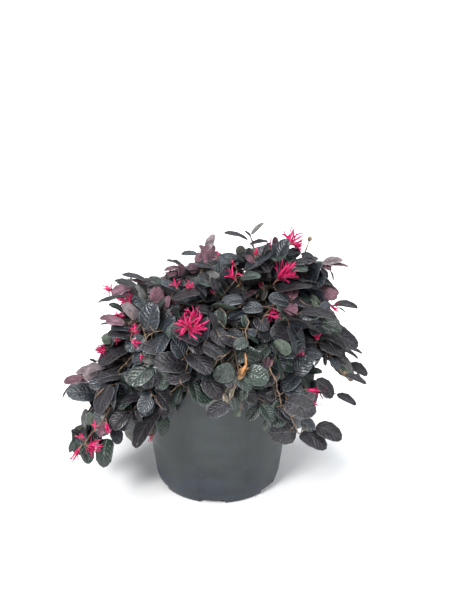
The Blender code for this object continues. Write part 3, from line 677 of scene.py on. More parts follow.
space_points = {}
for name, shoot in SHOOTS.items():
    line = lines[name]
    count = round((line.length - bare[name]) / 0.003)
    points = [line.place(bare[name] + (line.length - bare[name]) * n / count) for n in range(count + 1)]
    space_points[name] = points + [at(shoot.bearing, shoot.reach, shoot.height)]
own_space = {name: search_tree(points) for name, points in space_points.items()}
other_space = {}
for name in SHOOTS:
    rest = [point for other, points in space_points.items() if other != name for point in points]
    other_space[name] = search_tree(rest)


def clear_of_pot(point):
    radius = math.hypot(point.x, point.y)
    if point.z > POT_HEIGHT + POT_CLEARANCE:
        return True
    if point.z > lip_foot - POT_CLEARANCE:
        return radius > POT_RIM + POT_CLEARANCE
    return radius > pot_inner_radius(max(point.z, 0.006)) + POT_WALL + POT_CLEARANCE


def in_mass(name, point):
    """Whether a point is in a mass's own space, no further out than its shoot's tip, off the pot."""
    shoot = SHOOTS[name]
    if math.hypot(point.x, point.y) > shoot.reach + OVERREACH or not clear_of_pot(point):
        return False
    past = shoot.height - point.z if shoot.fall < 0 else point.z - shoot.height
    if past > OVERREACH:
        return False
    own = own_space[name].find(point)[2]
    return own < MASS_RADIUS and own < other_space[name].find(point)[2] + BORDER


def in_outline(points):
    """Whether points all show within the crown's outline, or are hidden behind the pot."""
    across, down, away = seen(points)
    across, down = across[:, None], down[:, None]
    near, far = outline[:-1], outline[1:]
    passes = (near[:, 1] > down) != (far[:, 1] > down)
    rise = np.where(far[:, 1] == near[:, 1], 1, far[:, 1] - near[:, 1])
    passes &= across < near[:, 0] + (far[:, 0] - near[:, 0]) * (down - near[:, 1]) / rise
    inside = passes.sum(axis=1) % 2 == 1
    behind = np.array([point.y > 0 for point in points])
    inside |= behind & (across[:, 0] > 153) & (across[:, 0] < 294) & (down[:, 0] > 392)
    return bool(inside.all())


def fits(name, points):
    return all(in_mass(name, point) for point in points) and in_outline(points)


def face_out(point, along, turn=50):
    """The way a leaf at a point faces: out of the crown and up, square to its twig."""
    facing = (point - CROWN_HEART).normalized() + Vector((0, 0, 0.45 + 3 * max(0, point.z - 0.22)))
    facing -= along * facing.dot(along)
    facing.rotate(Quaternion(along, math.radians(rng.uniform(-turn, turn))))
    return facing.normalized()


def bend_twig(base, way, length, droop):
    """Points along a twig that starts one way and is drawn down by its own weight."""
    points = [base]
    way = way.normalized()
    steps = max(3, round(length / 0.007))
    for step in range(steps):
        way = (way + Vector((0, 0, -droop / steps)) + Vector([rng.uniform(-0.10, 0.10) for _ in range(3)])).normalized()
        points.append(points[-1] + way * (length / steps))
    return points


def along_points(points, distance):
    """The place and direction at a distance along a line of points."""
    for before, after in zip(points, points[1:]):
        step = (after - before).length
        if distance <= step:
            return before.lerp(after, distance / step), (after - before).normalized()
        distance -= step
    return points[-1].copy(), (points[-1] - points[-2]).normalized()


# A twig springs from its parent twig at a share of the parent's length. New is how new its leaves are.
Twig = namedtuple("Twig", "mass points radii new spray rank parent share")
twigs = []
for name, shoot in SHOOTS.items():
    line = lines[name]
    first = bare[name]
    span = line.length - first
    steps = max(4, round(span / 0.006))
    points = [line.place(first + span * n / steps) for n in range(steps + 1)]
    radii = [limb_radius(name, first + span * n / steps) for n in range(steps + 1)]
    arrive = heading(shoot.bearing, shoot.fall)
    for step in (1, 2):
        points.append(line.place(line.length) + arrive * 0.006 * step)
        radii.append(radii[-1] * 0.85)
    twigs.append(Twig(name, points, radii, 0.4, len(twigs), 0, None, 0))

spray = len(twigs)
for number, name in enumerate(SHOOTS):
    line = lines[name]
    first = bare[name]
    span = line.length - first
    count = round(span / TWIG_SPACING)
    sign = rng.choice((-1, 1))
    for step in range(count):
        share = (step + 0.35) / count
        base = line.place(first + span * share)
        along = line.direction(first + span * share)
        face = face_out(base, along)
        full = TWIG_LENGTH * (1.2 - 0.6 * share) * rng.uniform(0.85, 1.15)
        for scale in (1.0, 0.85, 0.7, 0.55, 0.4):
            lift = math.radians(rng.uniform(-14, 38))
            angle = math.radians(TWIG_ANGLE + rng.uniform(-12, 12))
            sideways = along.cross(face) * sign * math.cos(lift) + face * math.sin(lift)
            way = along * math.cos(angle) + sideways * math.sin(angle)
            points = bend_twig(base, way, full * scale, rng.uniform(0.1, 0.7))
            if not fits(name, points[1:]):
                continue
            spray += 1
            length = full * scale
            radii = [0.0009 - 0.0004 * n / (len(points) - 1) for n in range(len(points))]
            carrier = len(twigs)
            twigs.append(Twig(name, points, radii, share, spray, 1, number, share * span / (span + 0.012)))
            fine = int(length / FINE_SPACING)
            hand = rng.choice((-1, 1))
            for branch in range(fine):
                part = (branch + 0.6) / (fine + 0.3)
                place, way = along_points(points, length * part)
                facing = face_out(place, way)
                away = way * 0.6 + way.cross(facing) * hand * 0.8 + facing * rng.uniform(-0.1, 0.4)
                tip = bend_twig(place, away, FINE_LENGTH * rng.uniform(0.6, 1.2), rng.uniform(0, 0.5))
                hand = -hand
                if fits(name, tip[1:]):
                    radii = [0.00065 - 0.00004 * n for n in range(len(tip))]
                    twigs.append(Twig(name, tip, radii, share, spray, 2, carrier, part))
            break
        sign = -sign


def list_wood():
    """Every twig's points, and for each the twig's number and the share of its length."""
    global wood_tree, wood_marks, wood_points
    wood_points = [point for twig in twigs for point in twig.points]
    wood_marks = [(n, step / (len(twig.points) - 1)) for n, twig in enumerate(twigs) for step in range(len(twig.points))]
    wood_tree = search_tree(wood_points)


def front_spot(across, down, near):
    """The first place on a line of sight within a distance of a twig, or else the place nearest to one."""
    way = sight(across, down)
    best = (None, None, 1.0)
    for step in range(180):
        place = EYE + way * (0.72 + 0.0022 * step)
        found, mark, gap = wood_tree.find(place)
        if gap < best[2]:
            best = (place, mark, gap)
        if gap < near:
            break
    return best


# Bare twigs that show in front: how thick each is in tenths of a millimetre, and its course in the
# picture. Each springs from the nearest twig.
OUTER_COURSES = (
    (15, ((256, 262), (254, 250), (252, 241), (249, 233))),
    (13, ((303, 256), (306, 249), (309, 242))),
    (12, ((308, 287), (314, 280), (318, 273), (321, 266))),
    (9, ((318, 274), (326, 268), (331, 265))),
    (9, ((213, 266), (211, 258), (207, 248))),
    (10, ((320, 303), (329, 305), (338, 306))),
    (10, ((298, 433), (308, 434), (318, 429))),
    (11, ((303, 388), (315, 389), (326, 392), (336, 394))),
    (9, ((336, 366), (344, 375), (350, 381))),
    (12, ((110, 408), (106, 416), (98, 426), (89, 436), (84, 445))),
)
INNER_COURSES = (
    (8, ((154, 332), (148, 336), (144, 342))),
    (7, ((160, 331), (154, 332), (150, 326))),
    (6, ((187, 369), (188, 360), (187, 352), (189, 345))),
    (7, ((231, 351), (224, 356), (217, 361), (212, 369))),
    (5, ((224, 356), (219, 356), (214, 360))),
    (5, ((221, 359), (222, 364), (217, 368))),
    (5, ((219, 321), (225, 328), (235, 331))),
    (6, ((247, 339), (245, 330), (249, 322), (245, 315))),
    (5, ((245, 330), (241, 336))),
    (6, ((263, 283), (265, 290), (263, 298), (268, 305), (270, 313))),
    (5, ((265, 290), (269, 285))),
    (6, ((243, 266), (240, 272), (237, 279))),
    (5, ((220, 308), (224, 312), (228, 315))),
    (7, ((176, 386), (181, 384), (187, 388))),
    (5, ((181, 384), (180, 379))),
    (8, ((96, 397), (103, 389), (109, 383))),
    (6, ((94, 388), (99, 393), (95, 398))),
    (8, ((269, 366), (272, 373), (276, 381), (278, 392))),
    (6, ((274, 377), (279, 376))),
    (6, ((272, 374), (268, 377))),
    (9, ((278, 391), (280, 397), (281, 408))),
    (6, ((279, 396), (284, 392))),
    (8, ((284, 409), (291, 417), (295, 425), (298, 433))),
    (6, ((291, 417), (296, 415))),
    (6, ((295, 425), (290, 430))),
    (6, ((157, 400), (160, 406), (163, 410))),
    (6, ((129, 325), (133, 318), (131, 312))),
    (6, ((236, 383), (232, 392), (229, 400))),
    (6, ((124, 352), (129, 356), (126, 360))),
    (5, ((300, 300), (306, 305), (313, 306))),
    (5, ((196, 303), (203, 300), (209, 303))),
)


def lay_course(thick, course, depths, mark):
    """A bare twig from a mark on the wood along a course, at a depth for each of its bends."""
    points = [wood_points[mark]]
    for bend in range(len(course) - 1):
        (across, down), (beyond, below) = course[bend:bend + 2]
        steps = max(2, round(math.hypot(beyond - across, below - down) / 4))
        for step in range(steps):
            share = step / steps
            way = sight(across + (beyond - across) * share, down + (below - down) * share)
            depth = depths[bend] + (depths[bend + 1] - depths[bend]) * share
            points.append(EYE + way * (depth + rng.uniform(-0.0008, 0)) + Vector((rng.uniform(-0.0006, 0.0006), 0, 0)))
    points.append(EYE + sight(*course[-1]) * depths[-1])
    count = len(points)
    radii = [thick * 0.0001 * (1 - 0.3 * n / count) * rng.uniform(0.8, 1.25) for n in range(count)]
    twigs.append(Twig("front", points, radii, 0.5, 0, 3, *wood_marks[mark]))


list_wood()
for thick, course in OUTER_COURSES:
    place, mark, gap = front_spot(*course[0], 0.007)
    depth = (place - EYE).dot(sight(225, 300)) - 0.002
    lay_course(thick, course, [depth] * len(course), mark)
list_wood()


# Leaves
# Broad ovate leaves stand alternately on short stalks. They are leathery and puckered between the
# side veins, purple-black with a grey-blue gloss, bottle green low in the crown, mauve when new.
LEAF_WIDTH = 0.0335
LEAF_ANGLE = 62
STATIONS = (0.04, 0.18, 0.45, 0.76, 0.93)
HALF_WIDTHS = (0.46, 0.88, 1.0, 0.82, 0.46)
COLUMNS = (-1.0, -0.52, 0.0, 0.52, 1.0)
THICKNESS = 0.00035


def blade_faces():
    """A leaf's upper sheet and, after it, its lower sheet, which share the rim."""
    rows = len(STATIONS)
    upper = [[2 + row * 5 + column for column in range(5)] for row in range(rows)]
    inner = 2 + rows * 5
    lower = []
    for row in range(rows):
        middle = [inner + row * 3 + column for column in range(3)]
        lower.append([upper[row][0]] + middle + [upper[row][4]])
    faces = []
    for grid, turned in ((upper, False), (lower, True)):
        sheet = []
        for column in range(4):
            sheet.append((0, grid[0][column + 1], grid[0][column]))
            sheet.append((1, grid[-1][column], grid[-1][column + 1]))
            for row in range(rows - 1):
                here, ahead = grid[row], grid[row + 1]
                sheet.append((here[column], here[column + 1], ahead[column + 1], ahead[column]))
        faces += [face[:1] + face[:0:-1] if turned else face for face in sheet]
    return faces


BLADE_FACES = blade_faces()
BLADE_PATCHES = [0] * (len(BLADE_FACES) // 2) + [1] * (len(BLADE_FACES) // 2)
BLADE_SPOTS = [(0.0, 0.5), (1.0, 0.5)]
BLADE_SPOTS += [(share, 0.5 + column / 2) for share in STATIONS for column in COLUMNS]
BLADE_SPOTS += [(share, 0.5 + column / 2) for share in STATIONS for column in COLUMNS[1:4]]


def blade_points(root, along, face, length, width, curl, fold, wave):
    """A leaf from its root: it curls down to its tip, folds at the midrib and waves at its rim."""
    side = along.cross(face)
    upper = []
    lower = []
    ends = []
    for share in (0.0,) + STATIONS + (1.0,):
        bend = curl * share
        forward = math.sin(bend) / curl * length if abs(curl) > 0.01 else share * length
        sink = (1 - math.cos(bend)) / curl * length if abs(curl) > 0.01 else 0.0
        middle = root + along * forward - face * sink
        up = face * math.cos(bend) + along * math.sin(bend)
        if share in (0.0, 1.0):
            ends.append(middle)
            continue
        half = HALF_WIDTHS[STATIONS.index(share)] * width / 2
        for column in COLUMNS:
            out = column * half
            lift = fold * abs(out) - 0.16 * out * out / half
            lift += wave * abs(column) * half * math.sin(share * 9 + column * 2)
            if column == 0.0:
                lift -= 0.0004
            point = middle + side * out + up * lift
            upper.append(point)
            if abs(column) < 1:
                lower.append(point - up * THICKNESS)
    return ends + upper + lower


def blade_proxy(root, along, face, length, width, curl):
    """Two flat halves that stand for a leaf when it is tried for room."""
    side = along.cross(face)
    near = root + along * length * 0.10
    middle = root + along * length * 0.48 - face * curl * length * 0.12
    tip = root + along * length * 0.96 - face * curl * length * 0.44
    left, right = middle - side * width * 0.46, middle + side * width * 0.46
    return (near, left, tip, right, middle)


PROXY_FACES = ((0, 1, 4), (1, 2, 4), (2, 3, 4), (3, 0, 4))


class Room:
    """Keeps leaves from growing through one another and through wood."""

    def __init__(self, points, faces):
        self.fixed = BVHTree.FromPolygons(points, faces)
        self.points = []
        self.faces = []
        self.grown = None
        self.recent = []

    def free(self, proxy):
        tree = BVHTree.FromPolygons(proxy, PROXY_FACES)
        if tree.overlap(self.fixed) or (self.grown and tree.overlap(self.grown)):
            return False
        for middle, other in self.recent:
            if (middle - proxy[4]).length_squared < 0.0025 and tree.overlap(other):
                return False
        self.keep_clear(proxy, tree)
        return True

    def keep_clear(self, proxy, tree=None):
        """Takes the room that five points span."""
        self.recent.append((proxy[4], tree or BVHTree.FromPolygons(proxy, PROXY_FACES)))
        first = len(self.points)
        self.points += proxy
        self.faces += [tuple(first + corner for corner in face) for face in PROXY_FACES]
        if len(self.recent) > 60:
            self.settle()

    def settle(self):
        self.grown = BVHTree.FromPolygons(self.points, self.faces)
        self.recent = []


trial = Heap()
for twig in twigs:
    lay_tube(trial, twig.points, twig.radii, 5)
room = Room([tuple(point) for point in trial.points], trial.faces)
KINDS = ("black", "charcoal", "green", "wine", "mauve", "dry")
LETTERS = {kind[0]: kind for kind in KINDS}
leaf_heaps = {kind: Heap() for kind in KINDS}
held = [0.0] * len(twigs)
petioles = []
shields = []


def carrier(place):
    """The twig that can carry a place by a short stalk that doesn't cross open sky."""
    best = (1.0, 0)
    margin = Vector((0.0025, 0, 0))
    for found, mark, gap in wood_tree.find_n(place, 120):
        between = [found.lerp(place, share) for share in (0.15, 0.45)]
        open_sky = sum(not in_outline([point + nudge]) for point in between for nudge in (margin, -margin))
        aside = found - place - toward * (found - place).dot(toward)
        cost = gap * (1 + 1.5 * open_sky) + aside.length
        best = min(best, (cost, mark))
    number, share = wood_marks[best[1]]
    held[number] = max(held[number], share)
    return wood_points[best[1]]


def add_leaf(kind, points):
    leaf_heaps[kind].add(points, BLADE_FACES, BLADE_PATCHES, BLADE_SPOTS, rng.random())


# The leaves that show in front, those behind first: root and tip in the picture, breadth, and kind
# by its first letter, small where the leaf lies with its underside up.
FRONT_LEAVES = (
    (149, 281, 124, 274, 5, "C"), (144, 291, 117, 280, 6, "C"), (168, 283, 150, 279, 7, "G"), (170, 287, 157, 281, 5, "G"), (160, 287, 146, 283, 4, "C"), (176, 291, 163, 283, 4, "C"),
    (170, 279, 161, 277, 2, "M"), (130, 286, 118, 283, 2, "C"),
    (136, 285, 150, 292, 8, "C"), (134, 285, 113, 294, 11, "M"), (128, 295, 104, 300, 5, "C"),
    (184, 268, 174, 260, 4, "C"), (176, 262, 167, 260, 3, "C"), (184, 267, 165, 270, 5, "W"),
    (182, 277, 181, 264, 7, "M"), (177, 272, 168, 275, 6, "W"), (198, 253, 182, 254, 6, "B"),
    (203, 253, 196, 262, 8, "W"), (206, 249, 214, 235, 9, "m"), (204, 248, 199, 246, 4, "M"),
    (208, 254, 214, 245, 9, "M"), (211, 260, 205, 246, 12, "W"), (219, 258, 204, 262, 8, "W"), (219, 296, 200, 301, 8, "B"), (214, 312, 196, 308, 8, "C"),
    (197, 272, 189, 264, 10, "M"), (214, 267, 198, 266, 5, "C"), (204, 274, 219, 276, 8, "c"),
    (237, 255, 222, 256, 6, "B"), (318, 262, 302, 258, 5, "C"), (241, 255, 240, 246, 10, "c"), (249, 256, 249, 248, 7, "C"),
    (249, 239, 225, 233, 6, "C"), (250, 234, 263, 223, 5, "c"), (251, 236, 245, 231, 3, "C"),
    (249, 243, 267, 241, 5, "C"), (262, 257, 269, 243, 4, "C"), (240, 277, 260, 276, 8, "G"),
    (200, 272, 209, 283, 9, "C"), (181, 290, 162, 281, 7, "B"), (214, 277, 216, 291, 9, "C"),
    (207, 297, 196, 286, 10, "B"), (241, 288, 222, 297, 9, "C"), (256, 281, 240, 291, 6, "C"),
    (256, 289, 243, 300, 6, "W"), (265, 284, 262, 300, 8, "c"), (224, 262, 238, 256, 7, "C"), (244, 268, 258, 262, 8, "B"),
    (255, 262, 246, 256, 7, "W"), (224, 272, 233, 284, 8, "C"), (246, 268, 262, 272, 7, "C"),
    (275, 248, 275, 237, 7, "M"), (276, 258, 273, 244, 7, "B"), (277, 258, 287, 240, 13, "B"),
    (286, 254, 300, 250, 7, "B"), (301, 253, 313, 257, 6, "C"), (293, 262, 307, 262, 7, "C"),
    (290, 266, 307, 270, 9, "G"), (318, 260, 310, 284, 11, "B"), (322, 262, 341, 260, 8, "m"),
    (330, 264, 347, 266, 4, "W"), (330, 269, 333, 280, 3, "C"), (325, 266, 331, 270, 5, "W"),
    (322, 268, 327, 278, 6, "C"), (318, 276, 333, 287, 5, "C"), (318, 288, 334, 286, 4, "W"),
    (328, 288, 338, 294, 8, "M"), (323, 291, 336, 298, 12, "W"), (316, 278, 315, 297, 7, "W"),
    (274, 289, 310, 285, 8, "C"), (272, 262, 264, 272, 8, "B"), (262, 262, 270, 272, 8, "C"),
    (138, 318, 124, 304, 10, "m"), (171, 297, 199, 292, 9, "C"), (176, 300, 197, 304, 6, "C"),
    (146, 297, 137, 285, 5, "c"), (157, 304, 157, 287, 14, "W"), (166, 308, 169, 296, 6, "M"), (176, 304, 174, 297, 5, "W"), (179, 304, 177, 299, 4, "W"),
    (148, 300, 139, 293, 6, "c"), (134, 300, 150, 302, 6, "B"), (147, 331, 154, 303, 21, "B"),
    (116, 296, 99, 302, 3, "C"), (124, 311, 110, 304, 5, "G"), (118, 318, 101, 318, 6, "W"),
    (125, 322, 107, 321, 8, "M"), (110, 323, 101, 324, 2, "C"), (131, 328, 112, 327, 8, "B"),
    (129, 335, 109, 333, 8, "C"), (112, 338, 103, 339, 11, "g"), (128, 343, 100, 362, 15, "C"),
    (97, 362, 90, 359, 2, "C"), (108, 364, 78, 371, 7, "m"), (161, 331, 175, 317, 10, "B"),
    (200, 341, 173, 328, 14, "C"), (203, 340, 208, 318, 11, "B"), (212, 329, 226, 344, 15, "C"),
    (203, 344, 224, 357, 14, "C"), (217, 329, 222, 310, 15, "G"), (217, 330, 211, 313, 6, "C"),
    (243, 298, 222, 303, 11, "B"), (247, 310, 229, 318, 10, "B"), (263, 306, 243, 309, 12, "B"),
    (247, 327, 243, 315, 8, "G"), (256, 316, 267, 330, 14, "C"), (257, 334, 248, 331, 7, "B"),
    (272, 331, 259, 340, 13, "B"), (248, 340, 234, 347, 11, "G"), (244, 352, 230, 363, 14, "G"),
    (268, 345, 253, 360, 14, "G"), (143, 343, 165, 351, 14, "C"), (143, 356, 154, 363, 7, "c"),
    (137, 351, 138, 368, 5, "B"), (130, 350, 138, 347, 4, "g"), (187, 364, 155, 361, 19, "C"),
    (190, 352, 210, 371, 17, "C"), (183, 341, 166, 350, 10, "B"), (192, 330, 196, 345, 9, "B"),
    (290, 302, 269, 298, 13, "B"), (289, 306, 311, 322, 8, "C"), (276, 327, 287, 315, 9, "G"),
    (275, 327, 284, 348, 13, "G"), (300, 310, 334, 316, 9, "C"), (291, 300, 310, 306, 8, "C"),
    (322, 322, 309, 323, 8, "B"), (322, 321, 339, 330, 12, "G"), (329, 332, 356, 345, 18, "C"),
    (320, 334, 344, 347, 6, "C"), (343, 345, 361, 352, 4, "C"), (340, 347, 357, 357, 4, "C"),
    (318, 333, 300, 336, 11, "C"), (316, 342, 293, 345, 12, "C"), (320, 342, 341, 353, 13, "C"),
    (320, 351, 315, 360, 7, "B"), (326, 353, 325, 365, 3, "C"), (331, 357, 337, 368, 8, "B"),
    (349, 363, 366, 374, 10, "C"), (346, 373, 365, 382, 6, "C"), (339, 351, 352, 377, 10, "c"),
    (334, 303, 356, 307, 7, "C"), (338, 307, 345, 312, 2, "C"), (313, 290, 321, 308, 6, "W"),
    (316, 296, 322, 305, 5, "W"), (98, 370, 82, 380, 10, "m"), (86, 378, 67, 381, 8, "W"),
    (72, 383, 63, 397, 3, "C"), (96, 393, 69, 391, 17, "B"), (121, 374, 99, 379, 10, "C"),
    (108, 379, 90, 385, 13, "B"), (117, 383, 114, 407, 7, "B"), (110, 384, 99, 411, 18, "C"),
    (146, 388, 127, 378, 8, "c"), (151, 364, 131, 383, 20, "G"), (131, 399, 119, 408, 8, "G"),
    (141, 396, 121, 401, 7, "C"), (126, 411, 113, 428, 16, "C"), (131, 412, 124, 428, 7, "C"),
    (115, 427, 119, 443, 11, "B"), (138, 441, 126, 430, 6, "c"), (156, 411, 138, 442, 16, "C"),
    (150, 396, 141, 412, 15, "B"), (83, 432, 87, 409, 9, "C"), (91, 425, 89, 412, 6, "g"),
    (80, 434, 72, 430, 4, "C"), (76, 437, 70, 451, 7, "G"), (105, 413, 101, 419, 4, "c"),
    (104, 421, 100, 436, 8, "M"), (84, 444, 90, 462, 11, "G"), (107, 438, 104, 465, 19, "G"),
    (190, 372, 168, 380, 14, "C"), (168, 380, 160, 389, 8, "G"), (158, 392, 171, 408, 14, "C"),
    (180, 389, 177, 403, 8, "G"), (192, 379, 198, 401, 12, "G"), (206, 375, 220, 397, 20, "C"),
    # The small pale leaf from (219, 401), laid underside up, is a painted highlight: it stands for the lit upper-left
    # half of the broad leaf from (228, 403).
    (172, 395, 172, 412, 5, "G"), (162, 412, 163, 435, 12, "G"), (219, 401, 207, 410, 8, "c"),
    (228, 403, 208, 414, 14, "C"), (235, 370, 214, 376, 19, "G"), (247, 372, 268, 379, 20, "G"),
    (243, 384, 243, 400, 11, "G"), (233, 397, 236, 409, 8, "G"), (243, 383, 236, 376, 5, "c"),
    (235, 382, 230, 399, 4, "D"), (225, 393, 226, 408, 5, "D"), (245, 367, 238, 379, 7, "d"),
    (241, 413, 233, 414, 6, "g"), (258, 405, 248, 419, 13, "G"), (262, 404, 272, 420, 12, "G"),
    (266, 419, 264, 430, 4, "g"), (276, 406, 291, 420, 12, "C"), (277, 404, 253, 393, 17, "C"),
    (268, 367, 263, 359, 4, "W"), (268, 367, 268, 357, 4, "W"), (268, 367, 272, 360, 4, "W"), (294, 366, 273, 360, 15, "G"), (297, 374, 283, 389, 13, "B"), (284, 388, 303, 393, 12, "B"),
    (294, 373, 310, 357, 17, "B"), (303, 372, 321, 371, 6, "G"), (301, 375, 308, 388, 7, "G"),
    (303, 419, 313, 430, 13, "B"), (285, 401, 314, 411, 22, "C"), (335, 395, 316, 380, 14, "C"),
    (337, 393, 355, 403, 7, "C"), (300, 434, 312, 445, 8, "B"), (302, 431, 325, 446, 15, "C"),
    (316, 425, 340, 437, 15, "C"), (301, 428, 309, 428, 5, "c"), (297, 432, 269, 432, 22, "C"),
    (283, 406, 292, 418, 9, "B"),
)
forced = 0
pulled = 0
laid = Heap()
for across, down, tip_across, tip_down, wide, letter in FRONT_LEAVES:
    spot, mark, gap = front_spot(across, down, 0.008)
    depth = (spot - EYE).dot(-toward)
    before = BVHTree.FromPolygons(laid.points, laid.faces) if laid.faces else None
    nearest = depth
    for share in (0.3, 0.55, 0.8):
        way = sight(across + (tip_across - across) * share, down + (tip_down - down) * share)
        hit = before.ray_cast(EYE, way.normalized()) if before else (None,)
        if hit[0] is not None:
            nearest = min(nearest, (hit[0] - EYE).dot(-toward) - 0.0015)
    pulled = max(pulled, depth - nearest)
    depth = max(nearest, depth - 0.022)
    tries = [(lift, pitch) for lift in (0, 3, 6, 9, 12, 15) for pitch in (14, 2, 28, -10)]
    for lift, pitch in tries + [(3, 14)]:
        away = depth - lift * 0.001
        root = EYE + sight(across, down) * away
        span = EYE + sight(tip_across, tip_down) * away - root
        breadth = wide * away / FOCUS
        tilt = math.radians(pitch)
        if span.length < breadth * 1.05:
            tilt = max(tilt, math.acos(span.length / (breadth * 1.05)))
        reach = (span.normalized() * math.cos(tilt) + toward * math.sin(tilt)).normalized()
        length = span.length / math.cos(tilt)
        width = max(breadth, length * min(0.80, 0.38 + breadth / length))
        front = (toward - reach * toward.dot(reach)).normalized()
        turn = math.acos(min(1.0, breadth / width))
        sides = [Quaternion(reach, turn) @ front, Quaternion(reach, -turn) @ front]
        face = max(sides, key=lambda side: side.z)
        curl = 0.25 + 0.65 * turn / 1.57
        arch = curl / 2
        reach, face = reach * math.cos(arch) + face * math.sin(arch), face * math.cos(arch) - reach * math.sin(arch)
        length, width = length * 1.03 * arch / math.sin(arch), width * 1.05
        root = root - face * (length * curl * 0.07)
        proxy = blade_proxy(root, reach, face, length, width, curl)
        if all(clear_of_pot(point) for point in proxy) and room.free(proxy):
            break
    else:
        forced += 1
        room.keep_clear(proxy)
    laid.add(proxy, PROXY_FACES)
    fold, wave = rng.uniform(0.10, 0.28), rng.uniform(0.02, 0.08)
    face = face if letter.isupper() else -face
    curl = curl if letter.isupper() else -curl
    add_leaf(LETTERS[letter.lower()], blade_points(root, reach, face, length, width, curl, fold, wave))
    petioles.append((carrier(root), root + reach * 0.001))
    for share in (0.3, 0.6):
        across, down, away = seen([root + reach * length * share])
        shields.append((across[0], down[0], wide * 0.42, away[0] + 0.002))
print("front leaves", len(FRONT_LEAVES), "forced", forced, "pulled", pulled)

# The bare twigs among these leaves lie just before them.
front_faces = BVHTree.FromPolygons(room.points, room.faces)
for thick, course in INNER_COURSES:
    place, mark, gap = front_spot(*course[0], 0.007)
    spans = []
    for (across, down), (beyond, below) in zip(course, course[1:]):
        depth = (place - EYE).length
        for step in range(7):
            across_here, down_here = across + (beyond - across) * step / 6, down + (below - down) * step / 6
            hit = front_faces.ray_cast(EYE, sight(across_here, down_here).normalized())
            if hit[0] is not None:
                depth = min(depth, (hit[0] - EYE).length)
            shields.append((across_here, down_here, 3, depth))
        spans.append(depth / sight(across, down).length - 0.0025)
    depths = [min(pair) for pair in zip(spans[:1] + spans, spans + spans[-1:])]
    lay_course(thick, course, depths, mark)
    held.append(0.0)
list_wood()


# Blossoms
# Tufts of crimson ribbon petals, four to a flower and several flowers to a tuft. Each tuft sits in
# small brown sepals on a short spur from the nearest twig.
RIBBON_FACES = []
for ring in range(6):
    for side in range(4):
        beyond = (side + 1) % 4
        RIBBON_FACES.append((ring * 4 + side, ring * 4 + beyond, ring * 4 + 4 + beyond, ring * 4 + 4 + side))
RIBBON_FACES += [(3, 2, 1, 0), (24, 25, 26, 27)]


def lay_ribbon(heap, root, way, face, length, width):
    """One strap petal, creased down its middle, that waves and curls towards its tip."""
    points = []
    point = root.copy()
    curl = rng.uniform(-1.2, 1.5) * (1 if width > 0.0015 else 2.2)
    swing = rng.uniform(-0.9, 0.9)
    for ring in range(7):
        share = ring / 6
        side = way.cross(face).normalized()
        half = width / 2 * (0.45 + 0.75 * math.sin(math.pi * (0.12 + 0.74 * share)))
        if ring == 6:
            half *= 0.55
        thick = 0.00018 + 0.08 * width
        points += [point - side * half, point - face * thick, point + side * half, point + face * thick]
        point = point + way * (length / 6)
        way = (way - face * curl / 6 + side * swing / 6).normalized()
        face = (face - way * face.dot(way)).normalized()
    heap.add(points, RIBBON_FACES)


def cone(axis, angle):
    """A direction within an angle of an axis."""
    across = axis.orthogonal().normalized()
    swept = Quaternion(axis, rng.uniform(0, math.tau)) @ across
    tilt = math.radians(angle) * math.sqrt(rng.random())
    return axis * math.cos(tilt) + swept * math.sin(tilt)


def lay_tuft(petals, sepals, heart, axis, flowers, length, spread, broad):
    """A tuft of flowers that open from one heart, each with four or five ribbons."""
    for flower in range(flowers):
        out = cone(axis, spread * 0.75)
        centre = heart + out * length * 0.16
        across = out.orthogonal().normalized()
        first = rng.uniform(0, math.tau)
        for number in range(rng.choice((4, 4, 5))):
            swept = Quaternion(out, first + math.tau * number / 4.3) @ across
            splay = math.radians(rng.uniform(0.2, 1.0) * max(18, spread) * 0.8)
            way = (out * math.cos(splay) + swept * math.sin(splay)).normalized()
            face = (out - way * out.dot(way)).normalized()
            reach, width = length * rng.uniform(0.6, 1.1), broad * rng.uniform(0.8, 1.25)
            lay_ribbon(petals, centre + swept * 0.0008, way, face, reach, width)
        lay_tube(sepals, [heart - out * 0.001, centre, centre + out * 0.002], [0.0008, 0.0013, 0.0008], 5)


